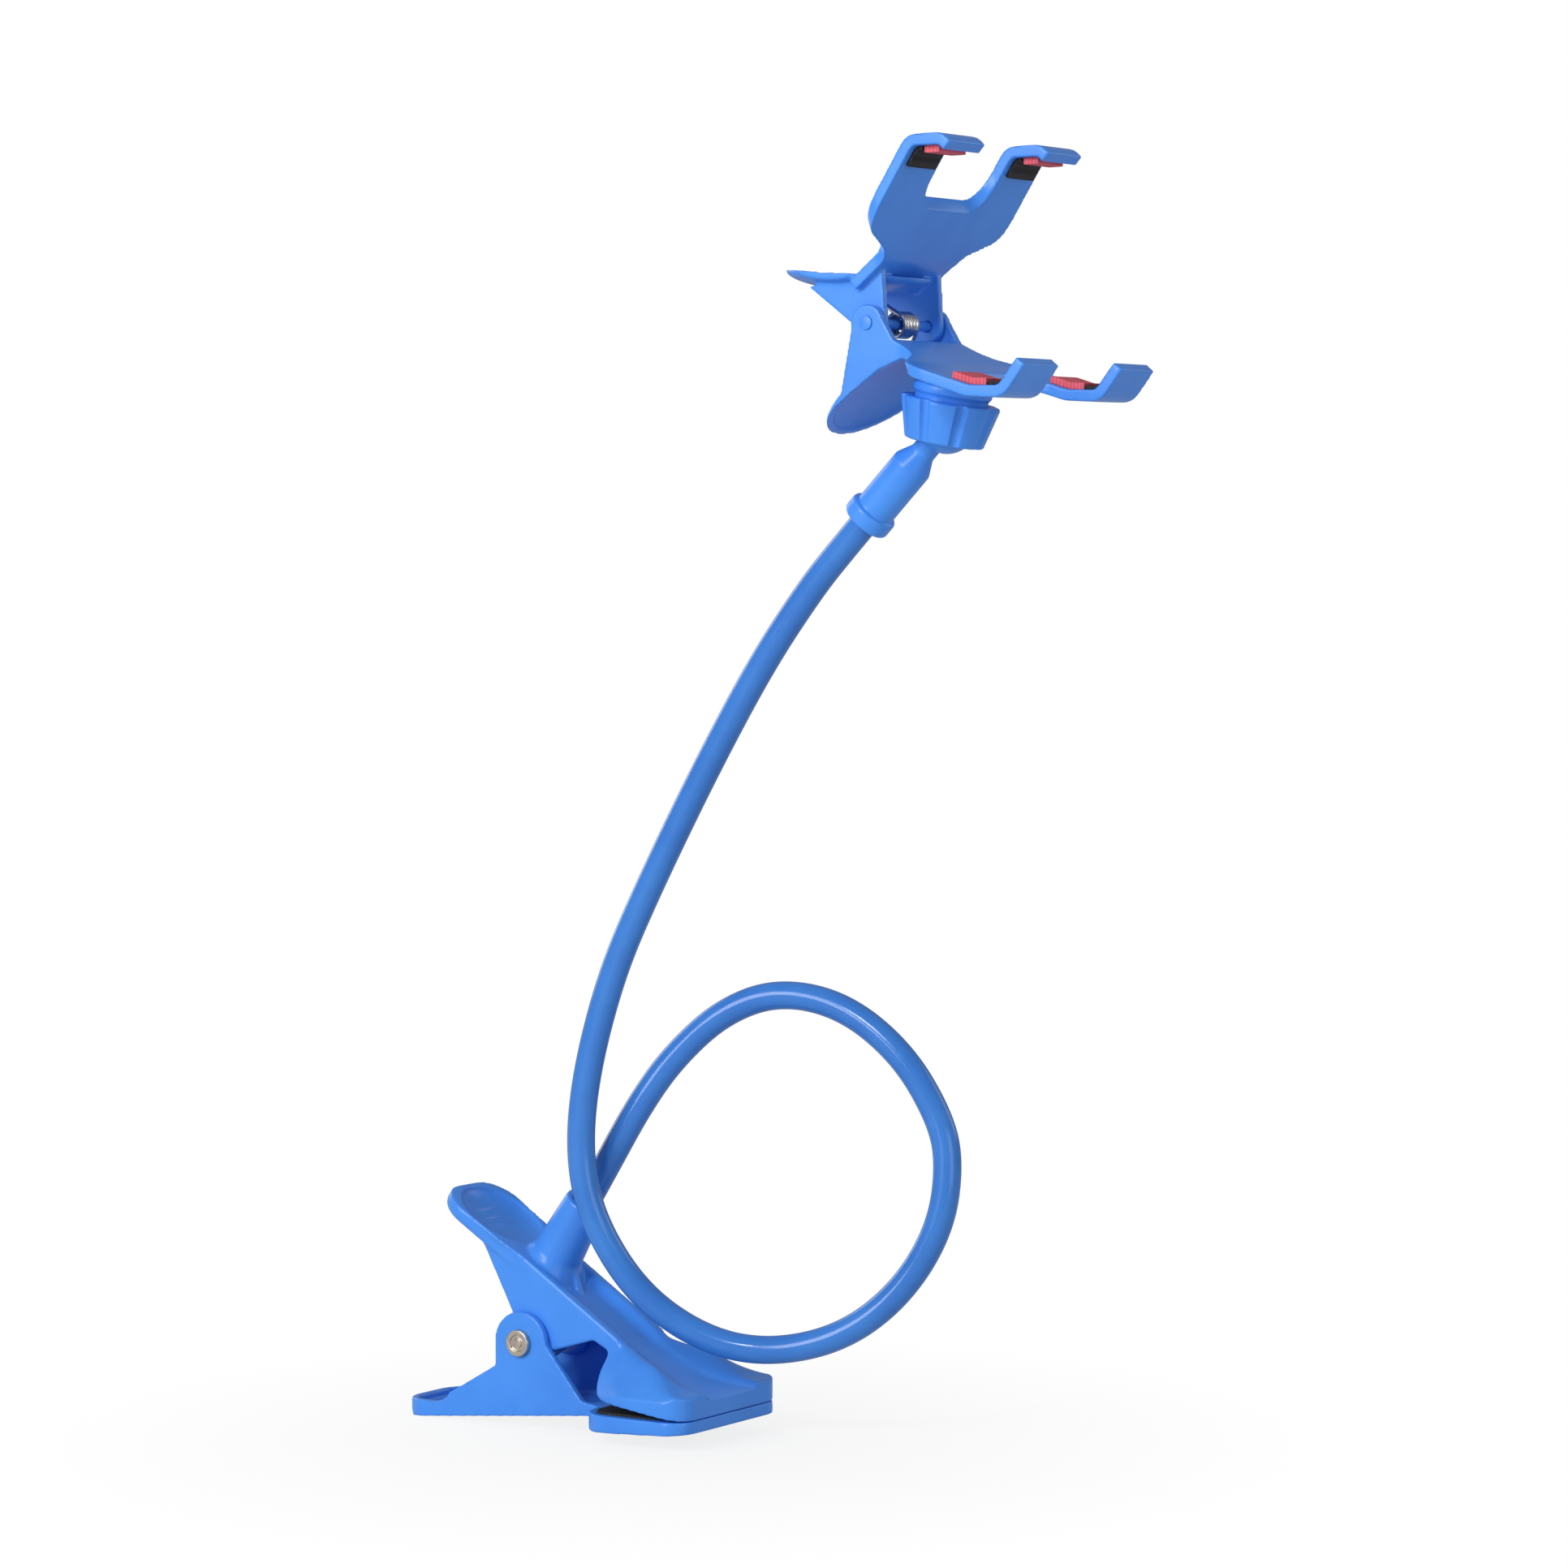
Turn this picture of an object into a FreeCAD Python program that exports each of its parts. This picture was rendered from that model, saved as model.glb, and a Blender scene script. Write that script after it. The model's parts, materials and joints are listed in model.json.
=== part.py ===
import FreeCAD, Part
import math
import os

import Sketcher

# Phone gooseneck holder: a spring clamp for a desk edge, a looped gooseneck, a ball joint with a
# lock nut, and a spring clip for a phone. Millimetres. The origin is the middle of the clamp's
# closed grip, +X runs out over the jaw tips, +Y lies along both hinge pins, +Z is up.

SIZES = {
    # Base clamp: hinge pin
    "pin_x": -48.7,
    "pin_z": 15.5,
    "pin_diameter": 5.0,
    "pin_clearance": 0.05,
    "pin_head_diameter": 8.2,
    "pin_head_height": 1.7,
    "pin_recess_diameter": 5.2,
    "pin_recess_depth": 0.7,
    "pin_stud_diameter": 3.0,
    "pin_nut_width": 8.0,
    "pin_nut_height": 3.2,
    "side_clearance": 0.4,
    # Base clamp: upper lever, measured along its slope from the pin and square to it
    "slope": 32.6,
    "upper_width": 25.0,
    "upper_wall": 2.4,
    "upper_plate": 5.0,
    "upper_top": 21.8,
    "upper_boss_radius": 7.4,
    "thumb_end": 46.0,
    "thumb_tip_depth": 3.0,
    "thumb_flare": 12.0,
    "thumb_taper": 34.0,
    "thumb_half_width": 15.0,
    "thumb_length": 33.0,
    "thumb_end_radius": 13.5,
    "thumb_depth": 3.2,
    "thumb_dish_half_length": 14.0,
    "thumb_dish_half_width": 12.2,
    "thumb_dish_depth": 3.1,
    "thumb_rib_spacing": 5.0,
    "thumb_rib_width": 1.4,
    "thumb_rib_height": 0.5,
    "thumb_rib_half_length": 7.0,
    "kink_along": -32.3,
    "kink_up": 17.7,
    "waist_along": -9.4,
    "waist_up": 4.9,
    "front_along": 9.7,
    "front_up": 3.7,
    "arch_rear_along": 20.1,
    "arch_rear_up": 15.8,
    "arch_front_along": 26.2,
    "arch_front_up": 16.4,
    # Base clamp: trough between the upper lever's rims
    "trough_depth": 2.8,
    "trough_half_floor": 6.8,
    "trough_corner_radius": 3.5,
    "trough_lean": 45.0,
    "trough_rear": -29.5,
    "trough_front": 31.5,
    # Base clamp: gooseneck boss on the upper lever
    "boss_along": -11.0,
    "boss_top": 44.2,
    "boss_base_radius": 8.2,
    "boss_top_radius": 6.6,
    "boss_foot_radius": 2.5,
    "boss_rib_thickness": 2.2,
    "boss_rib_reach": 6.5,
    "boss_rib_height": 8.0,
    "boss_socket_depth": 15.0,
    # Base clamp: jaws
    "jaw_half_width": 28.0,
    "jaw_toe_x": 20.0,
    "jaw_heel_x": -17.5,
    "jaw_toe_radius": 8.0,
    "jaw_heel_radius": 14.0,
    "jaw_meeting_z": -1.8,
    "jaw_gape": 8.0,
    "nose_share": 0.65,
    "wing_start_x": -10.5,
    "wing_tilt": 39.0,
    "heel_wing_tilt": 46.6,
    "heel_wing_turn": 21.0,
    "valley_rear_x": -16.0,
    "valley_rear_rise": 1.0,
    "valley_rear_half_floor": 5.2,
    "valley_middle_x": 3.0,
    "valley_middle_z": 7.3,
    "valley_middle_half_floor": 9.5,
    "valley_toe_z": 5.0,
    "valley_toe_half_floor": 17.0,
    "valley_corner_radius": 5.0,
    "lower_heel_x": -19.5,
    "lower_heel_radius": 12.0,
    "lower_jaw_thickness": 5.8,
    "lower_toe_thickness": 3.8,
    # Base clamp: rubber linings, let into the jaws
    "lining_inset": 3.4,
    "lining_thickness": 1.8,
    "lining_proud": 0.6,
    "lining_toe_gap": 9.0,
    "lining_corner_radius": 6.0,
    "lining_clearance": 0.1,
    # Base clamp: lower lever
    "lower_wall": 2.4,
    "lower_floor": 3.0,
    "ear_radius": 9.6,
    "ear_foot_z": 7.7,
    "handle_shoulder_x": -75.5,
    "handle_shoulder_z": -2.2,
    "handle_tip_x": -95.0,
    "handle_tip_z": -8.0,
    "handle_bottom_x": -91.5,
    "handle_bottom_z": -11.4,
    "handle_end_radius": 9.0,
    "belly_x": -23.0,
    "belly_z": -5.0,
    "front_edge_x": -25.5,
    "front_edge_z": -0.7,
    # Base clamp: spring round the pin
    "spring_wire": 1.8,
    "spring_radius": 4.6,
    "spring_turns": 5.0,
    "spring_gap": 0.25,
    "spring_upper_angle": 148.0,
    "spring_lower_angle": 214.0,
    "spring_seat_gap": 0.25,
    # Gooseneck
    "sheath_diameter": 8.6,
    "core_diameter": 5.8,
    "core_clearance": 0.15,
    "socket_clearance": 0.1,
    "boss_lead": 13.0,
    "stem_lead": 12.0,
    "stem_clearance": 0.08,
    # Screw under the boss
    "screw_diameter": 3.0,
    "screw_head_diameter": 6.0,
    "screw_head_height": 2.0,
    "screw_reach": 8.0,
    # Ball joint
    "ball_x": 95.8,
    "ball_z": 297.5,
    "ball_radius": 9.0,
    "stem_lean": 44.6,
    "neck_radius": 3.8,
    "neck_length": 12.0,
    "shoulder_start": 17.0,
    "sleeve_radius": 6.15,
    "collar_start": 35.2,
    "collar_end": 40.4,
    "collar_radius": 7.5,
    "stem_socket_depth": 15.0,
    # Lock nut and the socket under the clip
    "nut_lean": 11.5,
    "nut_bottom": 5.8,
    "nut_top": 6.8,
    "nut_bottom_radius": 11.7,
    "nut_top_radius": 14.9,
    "nut_mouth_radius": 9.8,
    "nut_flutes": 8.0,
    "nut_flute_radius": 1.7,
    "nut_flute_depth": 1.3,
    "thread_radius": 10.9,
    "thread_clearance": 0.25,
    "collet_shoulder": 1.0,
    "collet_bottom": 4.0,
    "collet_lip_radius": 9.3,
    "collet_slot": 1.4,
    "collet_slot_run": 12.0,
    "ball_clearance": 0.05,
    "socket_disc_bottom": 8.4,
    "socket_disc_top": 11.4,
    "socket_disc_radius": 11.8,
    "socket_boss_radius": 8.6,
    "socket_boss_top": 17.5,
    # Phone clip: place and hinge, then sizes in its own frame (x towards the phone)
    "clip_x": 79.9,
    "clip_z": 326.6,
    "clip_lean": 16.9,
    "clip_pin_diameter": 3.0,
    "clip_pin_head_diameter": 4.2,
    "clip_pin_head_height": 0.5,
    "clip_washer_diameter": 6.0,
    "clip_washer_thickness": 0.6,
    "cheek_half_width": 19.6,
    "cheek_thickness": 2.4,
    "cheek_clearance": 0.4,
    "cheek_radius": 5.4,
    "inner_cheek_radius": 4.9,
    "lower_cheek_rear_x": -15.6,
    "lower_cheek_rear_z": -19.4,
    "lower_cheek_middle_z": -14.3,
    "lower_cheek_front_x": 8.9,
    "lower_cheek_front_z": -13.6,
    "upper_cheek_rear_x": -17.5,
    "upper_cheek_rear_z": 17.0,
    "upper_cheek_front_x": 8.0,
    "upper_cheek_front_z": 13.5,
    # Phone clip: jaws, side view, as bent sheets (start, then the angle and length of each run)
    "arm_thickness": 3.4,
    "lower_start_x": 4.6,
    "lower_start_z": -9.6,
    "lower_root_angle": -44.0,
    "lower_root_length": 16.4,
    "lower_arm_angle": -34.0,
    "lower_arm_length": 24.2,
    "lower_palm_angle": -19.0,
    "lower_palm_length": 12.1,
    "lower_lip_angle": 35.0,
    "lower_lip_length": 11.7,
    "upper_start_x": -2.0,
    "upper_start_z": 13.6,
    "upper_root_angle": 22.0,
    "upper_root_length": 13.4,
    "upper_arm_angle": 40.5,
    "upper_arm_length": 37.6,
    "upper_palm_angle": -16.0,
    "upper_palm_length": 12.2,
    "upper_lip_angle": -62.0,
    "upper_lip_length": 3.8,
    "arm_bend_radius": 11.0,
    "upper_knee_radius": 6.0,
    "lip_bend_radius": 6.0,
    # Phone clip: jaw plan
    "finger_pitch": 56.0,
    "finger_width": 20.0,
    "finger_end_radius": 5.0,
    "fork_x": 25.0,
    "fork_radius": 8.0,
    "flare_x": 19.0,
    "flare_run": 6.0,
    "flare_radius": 7.0,
    # Phone clip: dished handles, each a shallow bowl whose rim lies in a plane beside the pin
    "bowl_radius": 21.6,
    "bowl_depth": 5.0,
    "handle_rim": 2.2,
    "dish_depth": 3.0,
    "upper_bowl_angle": 158.8,
    "upper_bowl_offset": 14.1,
    "upper_bowl_tip": 37.4,
    "lower_bowl_angle": 199.6,
    "lower_bowl_offset": 13.2,
    "lower_bowl_tip": 36.0,
    # Phone clip: soft pads
    "pad_side_margin": 2.5,
    "grip_pad_thickness": 2.0,
    "upper_grip_start": 4.7,
    "upper_grip_length": 4.9,
    "lower_grip_on_arm": 7.5,
    "lower_grip_on_palm": 5.2,
    "liner_thickness": 1.1,
    "liner_on_palm": 6.6,
    "lower_liner_on_lip": 9.0,
    "upper_liner_on_arm": 8.0,
    "upper_liner_on_palm": 4.1,
    # Phone clip: spring
    "clip_spring_wire": 1.4,
    "clip_spring_radius": 3.4,
    "clip_spring_turns": 5.0,
    "clip_spring_upper_angle": 132.0,
    "clip_spring_lower_angle": 232.0,
}

# Far enough past the whole object for a cut that goes right through
CLEAR_OF_ALL = 200.0

AXIS_X = FreeCAD.Vector(1, 0, 0)
AXIS_Y = FreeCAD.Vector(0, 1, 0)
AXIS_Z = FreeCAD.Vector(0, 0, 1)


class Size:
    """A number together with the sheet formula that gives it."""

    def __init__(self, value, formula):
        self.value = value
        self.formula = formula

    def __add__(self, other):
        other = as_size(other)
        return Size(self.value + other.value, f"({self.formula} + {other.formula})")

    def __radd__(self, other):
        return as_size(other) + self

    def __sub__(self, other):
        other = as_size(other)
        return Size(self.value - other.value, f"({self.formula} - {other.formula})")

    def __rsub__(self, other):
        return as_size(other) - self

    def __mul__(self, other):
        other = as_size(other)
        return Size(self.value * other.value, f"({self.formula} * {other.formula})")

    def __rmul__(self, other):
        return as_size(other) * self

    def __truediv__(self, other):
        other = as_size(other)
        return Size(self.value / other.value, f"({self.formula} / {other.formula})")

    def __neg__(self):
        return Size(-self.value, f"(0 - {self.formula})")


def as_size(number):
    """The number as a Size, whether it comes from the sheet or stands by itself."""
    if isinstance(number, Size):
        return number
    return Size(float(number), f"({float(number)})")


def sine(angle):
    """Sine of an angle in degrees."""
    angle = as_size(angle)
    return Size(math.sin(math.radians(angle.value)), f"sin({angle.formula})")


def cosine(angle):
    """Cosine of an angle in degrees."""
    angle = as_size(angle)
    return Size(math.cos(math.radians(angle.value)), f"cos({angle.formula})")


def root(number):
    """Square root of a size."""
    return Size(math.sqrt(number.value), f"sqrt({number.formula})")


doc = FreeCAD.newDocument("gooseneck_holder")
sheet = doc.addObject("Spreadsheet::Sheet", "sizes")
for row, (alias, number) in enumerate(SIZES.items(), start=1):
    sheet.set(f"A{row}", alias)
    sheet.set(f"B{row}", str(number))
    sheet.setAlias(f"B{row}", alias)
doc.recompute()


class Sizes:
    """The sheet's sizes, read by their names."""

    def __getattr__(self, name):
        return Size(SIZES[name], f"sizes.{name}")


s = Sizes()


# Bodies, sketches and features

def bind(item, **values):
    """Set the item's properties to sizes and tie them to the sheet."""
    for name, value in values.items():
        item.setExpression(name, as_size(value).formula)


def new_body(name):
    """An empty body that will be written under its label."""
    body = doc.addObject("PartDesign::Body", name)
    body.Label = name
    return body


def origin_plane(body, role):
    """The body's own origin plane of that role."""
    return next(plane for plane in body.Origin.OriginFeatures if plane.Role == role)


def new_sketch(body, name, role, base=(0, 0, 0), axis=AXIS_Z, angle=0):
    """A sketch on an origin plane, moved by base and turned about an axis, both in the plane's frame."""
    sketch = body.newObject("Sketcher::SketchObject", name)
    sketch.AttachmentSupport = [(origin_plane(body, role), "")]
    sketch.MapMode = "FlatFace"
    place_attachment(sketch, base, axis, angle)
    return sketch


def place_attachment(item, base, axis, angle):
    """Move an attached item by base and turn it about an axis."""
    base = [as_size(length) for length in base]
    angle = as_size(angle)
    start = FreeCAD.Vector(*(length.value for length in base))
    item.AttachmentOffset = FreeCAD.Placement(start, FreeCAD.Rotation(axis, angle.value))
    for letter, length in zip("xyz", base):
        item.setExpression(f"AttachmentOffset.Base.{letter}", length.formula)
    if angle.value > 0:
        item.setExpression("AttachmentOffset.Rotation.Angle", angle.formula)


def pin_point(sketch, index, end, x, y):
    """Hold one point of a sketch at x and y."""
    for kind, size in (("DistanceX", x), ("DistanceY", y)):
        size = as_size(size)
        rule = sketch.addConstraint(Sketcher.Constraint(kind, -1, 1, index, end, size.value))
        sketch.setExpression(f"Constraints[{rule}]", size.formula)


def hold_radius(sketch, index, radius):
    """Hold the radius of a circle or an arc."""
    rule = sketch.addConstraint(Sketcher.Constraint("Radius", index, radius.value))
    sketch.setExpression(f"Constraints[{rule}]", radius.formula)


def draw_circle(sketch, x, y, radius):
    """A circle about x and y."""
    x, y, radius = as_size(x), as_size(y), as_size(radius)
    centre = FreeCAD.Vector(x.value, y.value, 0)
    index = sketch.addGeometry(Part.Circle(centre, AXIS_Z, radius.value))
    pin_point(sketch, index, 3, x, y)
    hold_radius(sketch, index, radius)


def corner_arc(before, here, after, radius):
    """Where a rounded corner starts and ends, and its centre."""
    back = (before - here).normalize()
    onward = (after - here).normalize()
    half_turn = back.getAngle(onward) / 2
    reach = radius / math.tan(half_turn)
    centre = here + (back + onward).normalize() * (radius / math.sin(half_turn))
    return here + back * reach, here + onward * reach, centre


def draw_outline(sketch, corners):
    """A closed outline through corners (x, y), or (x, y, radius) where the corner is rounded."""
    count = len(corners)
    spots = [FreeCAD.Vector(as_size(c[0]).value, as_size(c[1]).value, 0) for c in corners]
    radii = [as_size(c[2]) if len(c) > 2 else None for c in corners]
    starts, ends, centres = list(spots), list(spots), list(spots)
    for i, radius in enumerate(radii):
        if radius is not None:
            found = corner_arc(spots[i - 1], spots[i], spots[(i + 1) % count], radius.value)
            starts[i], ends[i], centres[i] = found
    lines = [
        sketch.addGeometry(Part.LineSegment(ends[i], starts[(i + 1) % count]))
        for i in range(count)
    ]
    for i, corner in enumerate(corners):
        before, after = lines[i - 1], lines[i]
        if radii[i] is None:
            sketch.addConstraint(Sketcher.Constraint("Coincident", before, 2, after, 1))
            pin_point(sketch, after, 1, corner[0], corner[1])
            continue
        spot = sketch.addGeometry(Part.Point(spots[i]), True)
        pin_point(sketch, spot, 1, corner[0], corner[1])
        sketch.addConstraint(Sketcher.Constraint("PointOnObject", spot, 1, before))
        sketch.addConstraint(Sketcher.Constraint("PointOnObject", spot, 1, after))
        add_corner_arc(sketch, before, after, starts[i], ends[i], centres[i], radii[i])


def add_corner_arc(sketch, before, after, start, end, centre, radius):
    """The arc of a rounded corner, tangent to the lines before and after it."""
    first, last = start - centre, end - centre
    turns_left = first.x * last.y - first.y * last.x > 0
    low, high = (first, last) if turns_left else (last, first)
    circle = Part.Circle(centre, AXIS_Z, radius.value)
    low_angle, high_angle = math.atan2(low.y, low.x), math.atan2(high.y, high.x)
    arc = sketch.addGeometry(Part.ArcOfCircle(circle, low_angle, high_angle))
    start_end, last_end = (1, 2) if turns_left else (2, 1)
    sketch.addConstraint(Sketcher.Constraint("Tangent", before, 2, arc, start_end))
    sketch.addConstraint(Sketcher.Constraint("Tangent", arc, last_end, after, 1))
    hold_radius(sketch, arc, radius)


def draw_box(sketch, low_x, low_y, high_x, high_y):
    """A plain rectangle."""
    draw_outline(sketch, [(low_x, low_y), (high_x, low_y), (high_x, high_y), (low_x, high_y)])


def pad(body, sketch, length, symmetric=True, back=False):
    """Thicken a sketch, to both sides or to one."""
    feature = body.newObject("PartDesign::Pad", f"{sketch.Name}_pad")
    feature.Profile = sketch
    if symmetric:
        feature.SideType = "Symmetric"
    feature.Reversed = back
    bind(feature, Length=length)
    return feature


def pocket(body, sketch, length, symmetric=True, back=False):
    """Cut a sketch's outline away, to both sides or to one."""
    feature = body.newObject("PartDesign::Pocket", f"{sketch.Name}_pocket")
    feature.Profile = sketch
    if symmetric:
        feature.SideType = "Symmetric"
    feature.Reversed = back
    bind(feature, Length=length)
    return feature


def turn(body, sketch, kind="Revolution"):
    """Turn a sketch round its own vertical axis, adding with Revolution and cutting with Groove."""
    feature = body.newObject(f"PartDesign::{kind}", f"{sketch.Name}_turned")
    feature.Profile = sketch
    feature.ReferenceAxis = (sketch, ["V_Axis"])
    feature.Angle = 360
    return feature


def add_oval(body, name, kind, role, base, axis, angle, half_sizes, half=False):
    """Add or cut an ellipsoid, or its lower half, with its half sizes along x, y and z."""
    feature = body.newObject(f"PartDesign::{kind}Ellipsoid", name)
    feature.AttachmentSupport = [(origin_plane(body, role), "")]
    feature.MapMode = "FlatFace"
    place_attachment(feature, base, axis, angle)
    bind(feature, Radius2=half_sizes[0], Radius3=half_sizes[1], Radius1=half_sizes[2])
    if half:
        feature.Angle2 = 0
    return feature


def round_edges(body, name, radius, wanted):
    """Round the edges of the body's last feature that wanted accepts."""
    doc.recompute()
    last = body.Tip
    edges = [f"Edge{i}" for i, edge in enumerate(last.Shape.Edges, start=1) if wanted(edge)]
    feature = body.newObject("PartDesign::Fillet", name)
    feature.Base = (last, edges)
    bind(feature, Radius=radius)
    return feature


def place_body(body, x, y, z, axis, angle):
    """Put a body at its place in the holder."""
    x, y, z, angle = (as_size(value) for value in (x, y, z, angle))
    rotation = FreeCAD.Rotation(axis, angle.value)
    body.Placement = FreeCAD.Placement(FreeCAD.Vector(x.value, y.value, z.value), rotation)
    for letter, length in (("x", x), ("y", y), ("z", z)):
        body.setExpression(f"Placement.Base.{letter}", length.formula)
    if angle.value > 0:
        body.setExpression("Placement.Rotation.Angle", angle.formula)


# Points on the base clamp

def on_slope(along, up):
    """A point of the upper lever, given from the pin along its slope and square to it."""
    x = s.pin_x + along * cosine(s.slope) + up * sine(s.slope)
    z = s.pin_z - along * sine(s.slope) + up * cosine(s.slope)
    return x, z


def slope_height(x, up):
    """Height at x of the line that lies that far above the pin, square to the slope."""
    start_x, start_z = on_slope(0, up)
    return start_z - (x - start_x) * sine(s.slope) / cosine(s.slope)


def upper_jaw_underside(x):
    """Height of the upper jaw's gripping face at x, with the jaws closed."""
    return s.jaw_meeting_z + (s.jaw_toe_x - x) * sine(s.jaw_gape) / cosine(s.jaw_gape)


def lower_floor_underside(x):
    """Height of the lower lever's underside at x, between its handle and its belly."""
    rise = (s.belly_z - s.handle_bottom_z) / (s.belly_x - s.handle_bottom_x)
    return s.handle_bottom_z + (x - s.handle_bottom_x) * rise


def jaw_plan(heel, toe_radius, heel_radius):
    """Plan outline of a jaw."""
    half, toe = s.jaw_half_width, s.jaw_toe_x
    return [
        (heel, -half, heel_radius),
        (toe, -half, toe_radius),
        (toe, half, toe_radius),
        (heel, half, heel_radius),
    ]


# Base clamp

def clamp_upper_jaw():
    """Lever with the thumb plate, the gooseneck boss and the broad upper jaw, one moulding."""
    body = new_body("clamp_upper_jaw")
    plan = new_sketch(body, "upper_jaw_plan", "XY_Plane")
    draw_outline(plan, jaw_plan(s.jaw_heel_x, s.jaw_toe_radius, s.jaw_heel_radius))
    pad(body, plan, 2 * slope_height(s.wing_start_x, s.upper_top))
    cut_upper_jaw_underside(body)
    cut_wings(body)
    add_upper_walls(body)
    add_thumb_plate(body)
    cut_trough(body)
    cut_valley(body)
    cut_thumb_dish(body)
    add_boss(body)
    cut_upper_channel(body)
    cut_boss_socket(body)
    recess = upper_lining_sketch(body, "upper_lining_recess", 0, as_size(0))
    pocket(body, recess, s.lining_thickness - s.lining_proud, symmetric=False, back=True)
    drill_pin_hole(body, "upper")
    return body


def cut_upper_jaw_underside(body):
    """Tilt the gripping face, which meets the lower jaw at the toe."""
    heel, toe = s.jaw_heel_x, s.jaw_toe_x
    below = new_sketch(body, "upper_jaw_underside", "XZ_Plane")
    deep = -CLEAR_OF_ALL
    low_heel = upper_jaw_underside(heel)
    draw_outline(below, [(heel, low_heel), (heel, deep), (toe, deep), (toe, s.jaw_meeting_z)])
    pocket(body, below, CLEAR_OF_ALL)


def cut_wings(body):
    """Slope the jaw's top down from the lever's sides to its edges, and more steeply at the heel."""
    start_y, start_z = s.upper_width / 2, slope_height(s.wing_start_x, s.upper_top)
    for name, tilt, turned in (
        ("wing", s.wing_tilt, None),
        ("heel_wing", s.heel_wing_tilt, s.heel_wing_turn),
    ):
        fall = s.jaw_half_width * sine(tilt) / cosine(tilt)
        for side, label in ((-1, "near"), (1, "far")):
            base = (start_y * side, start_z, s.wing_start_x)
            if turned is None:
                face = new_sketch(body, f"{name}_{label}", "YZ_Plane", base)
            else:
                face = new_sketch(body, f"{name}_{label}", "YZ_Plane", base, AXIS_Y * side, turned)
            out = s.jaw_half_width * side
            draw_outline(face, [(0, 0), (out, -fall), (out, CLEAR_OF_ALL), (0, CLEAR_OF_ALL)])
            pocket(body, face, CLEAR_OF_ALL)


def add_upper_walls(body):
    """Side view of the lever: thumb end, waist at the pin, arch and the slope down to the jaw."""
    walls = new_sketch(body, "upper_walls", "XZ_Plane")
    jaw_line = on_slope(s.arch_front_along, s.arch_front_up)
    heel_low = upper_jaw_underside(s.jaw_heel_x)
    nose_x = s.jaw_heel_x + (s.jaw_toe_x - s.jaw_heel_x) * s.nose_share
    top_rear = on_slope(-s.thumb_end, s.upper_top)
    low_rear = on_slope(-s.thumb_end, s.upper_top - s.thumb_tip_depth)
    draw_outline(
        walls,
        [
            low_rear,
            on_slope(s.kink_along, s.kink_up),
            on_slope(s.waist_along, s.waist_up),
            (s.pin_x - s.upper_boss_radius / 2, s.pin_z - s.upper_boss_radius / 2),
            on_slope(s.front_along, s.front_up),
            on_slope(s.arch_rear_along, s.arch_rear_up),
            jaw_line,
            (s.jaw_heel_x, heel_low),
            (nose_x, upper_jaw_underside(nose_x)),
            (nose_x, slope_height(nose_x, s.upper_top)),
            top_rear,
        ],
    )
    pad(body, walls, s.upper_width)
    eye = new_sketch(body, "upper_eye", "XZ_Plane")
    draw_circle(eye, s.pin_x, s.pin_z, s.upper_boss_radius)
    pad(body, eye, s.upper_width)


def add_thumb_plate(body):
    """Oval thumb plate at the rear end of the slope, flared out of the lever's walls."""
    base_x, base_z = on_slope(0, s.upper_top)
    plate = new_sketch(body, "thumb_plate", "XY_Plane", (base_x, 0, base_z), AXIS_Y, s.slope)
    half = s.thumb_half_width
    rear, front = -s.thumb_end, s.thumb_length - s.thumb_end
    wide, lever = front - s.thumb_flare, s.upper_width / 2
    draw_outline(
        plate,
        [
            (rear, -half, s.thumb_end_radius),
            (wide, -half, s.thumb_end_radius),
            (front, -lever),
            (front, lever),
            (wide, half, s.thumb_end_radius),
            (rear, half, s.thumb_end_radius),
        ],
    )
    plate_pad = pad(body, plate, s.thumb_depth, symmetric=False, back=True)
    bind(plate_pad, TaperAngle=-s.thumb_taper)


def add_boss(body):
    """Tapered boss that stands square on the slope and takes the gooseneck."""
    boss_x, boss_z = on_slope(s.boss_along, 0)
    side = new_sketch(body, "boss_side", "XZ_Plane", (boss_x, boss_z, 0), -AXIS_Z, s.slope)
    low = s.upper_top - s.upper_plate
    floor = s.upper_top - s.trough_depth
    draw_outline(
        side,
        [
            (0, low),
            (s.boss_base_radius + s.boss_foot_radius, low),
            (s.boss_base_radius + s.boss_foot_radius, floor),
            (s.boss_base_radius, floor + s.boss_foot_radius),
            (s.boss_top_radius, s.boss_top),
            (0, s.boss_top),
        ],
    )
    turn(body, side)
    rib = new_sketch(body, "boss_rib", "XZ_Plane", (boss_x, boss_z, 0), -AXIS_Z, s.slope)
    draw_outline(
        rib,
        [
            (0, low),
            (s.boss_base_radius + s.boss_rib_reach, low),
            (s.boss_base_radius + s.boss_rib_reach, floor),
            (s.boss_base_radius / 2, floor + s.boss_rib_height),
            (0, floor + s.boss_rib_height),
        ],
    )
    pad(body, rib, s.boss_rib_thickness)


def cut_upper_channel(body):
    """Hollow of the lever, open downwards, between its two walls."""
    hollow = new_sketch(body, "upper_channel", "XZ_Plane")
    level = s.upper_top - s.upper_plate
    front_along = s.arch_front_along
    draw_outline(
        hollow,
        [
            on_slope(s.upper_plate - s.thumb_end, level),
            on_slope(front_along, level),
            on_slope(front_along, -s.upper_top),
            on_slope(s.upper_plate - s.thumb_end, -s.upper_top),
        ],
    )
    pocket(body, hollow, s.upper_width - 2 * s.upper_wall)


def draw_trough(sketch, floor, half_floor, corner):
    """Cross-section of the trough: a flat floor and leaning walls, open upwards."""
    rise = s.boss_top
    out = half_floor + rise * sine(s.trough_lean) / cosine(s.trough_lean)
    draw_outline(
        sketch,
        [
            (-out, floor + rise),
            (-half_floor, floor, corner),
            (half_floor, floor, corner),
            (out, floor + rise),
        ],
    )


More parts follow.
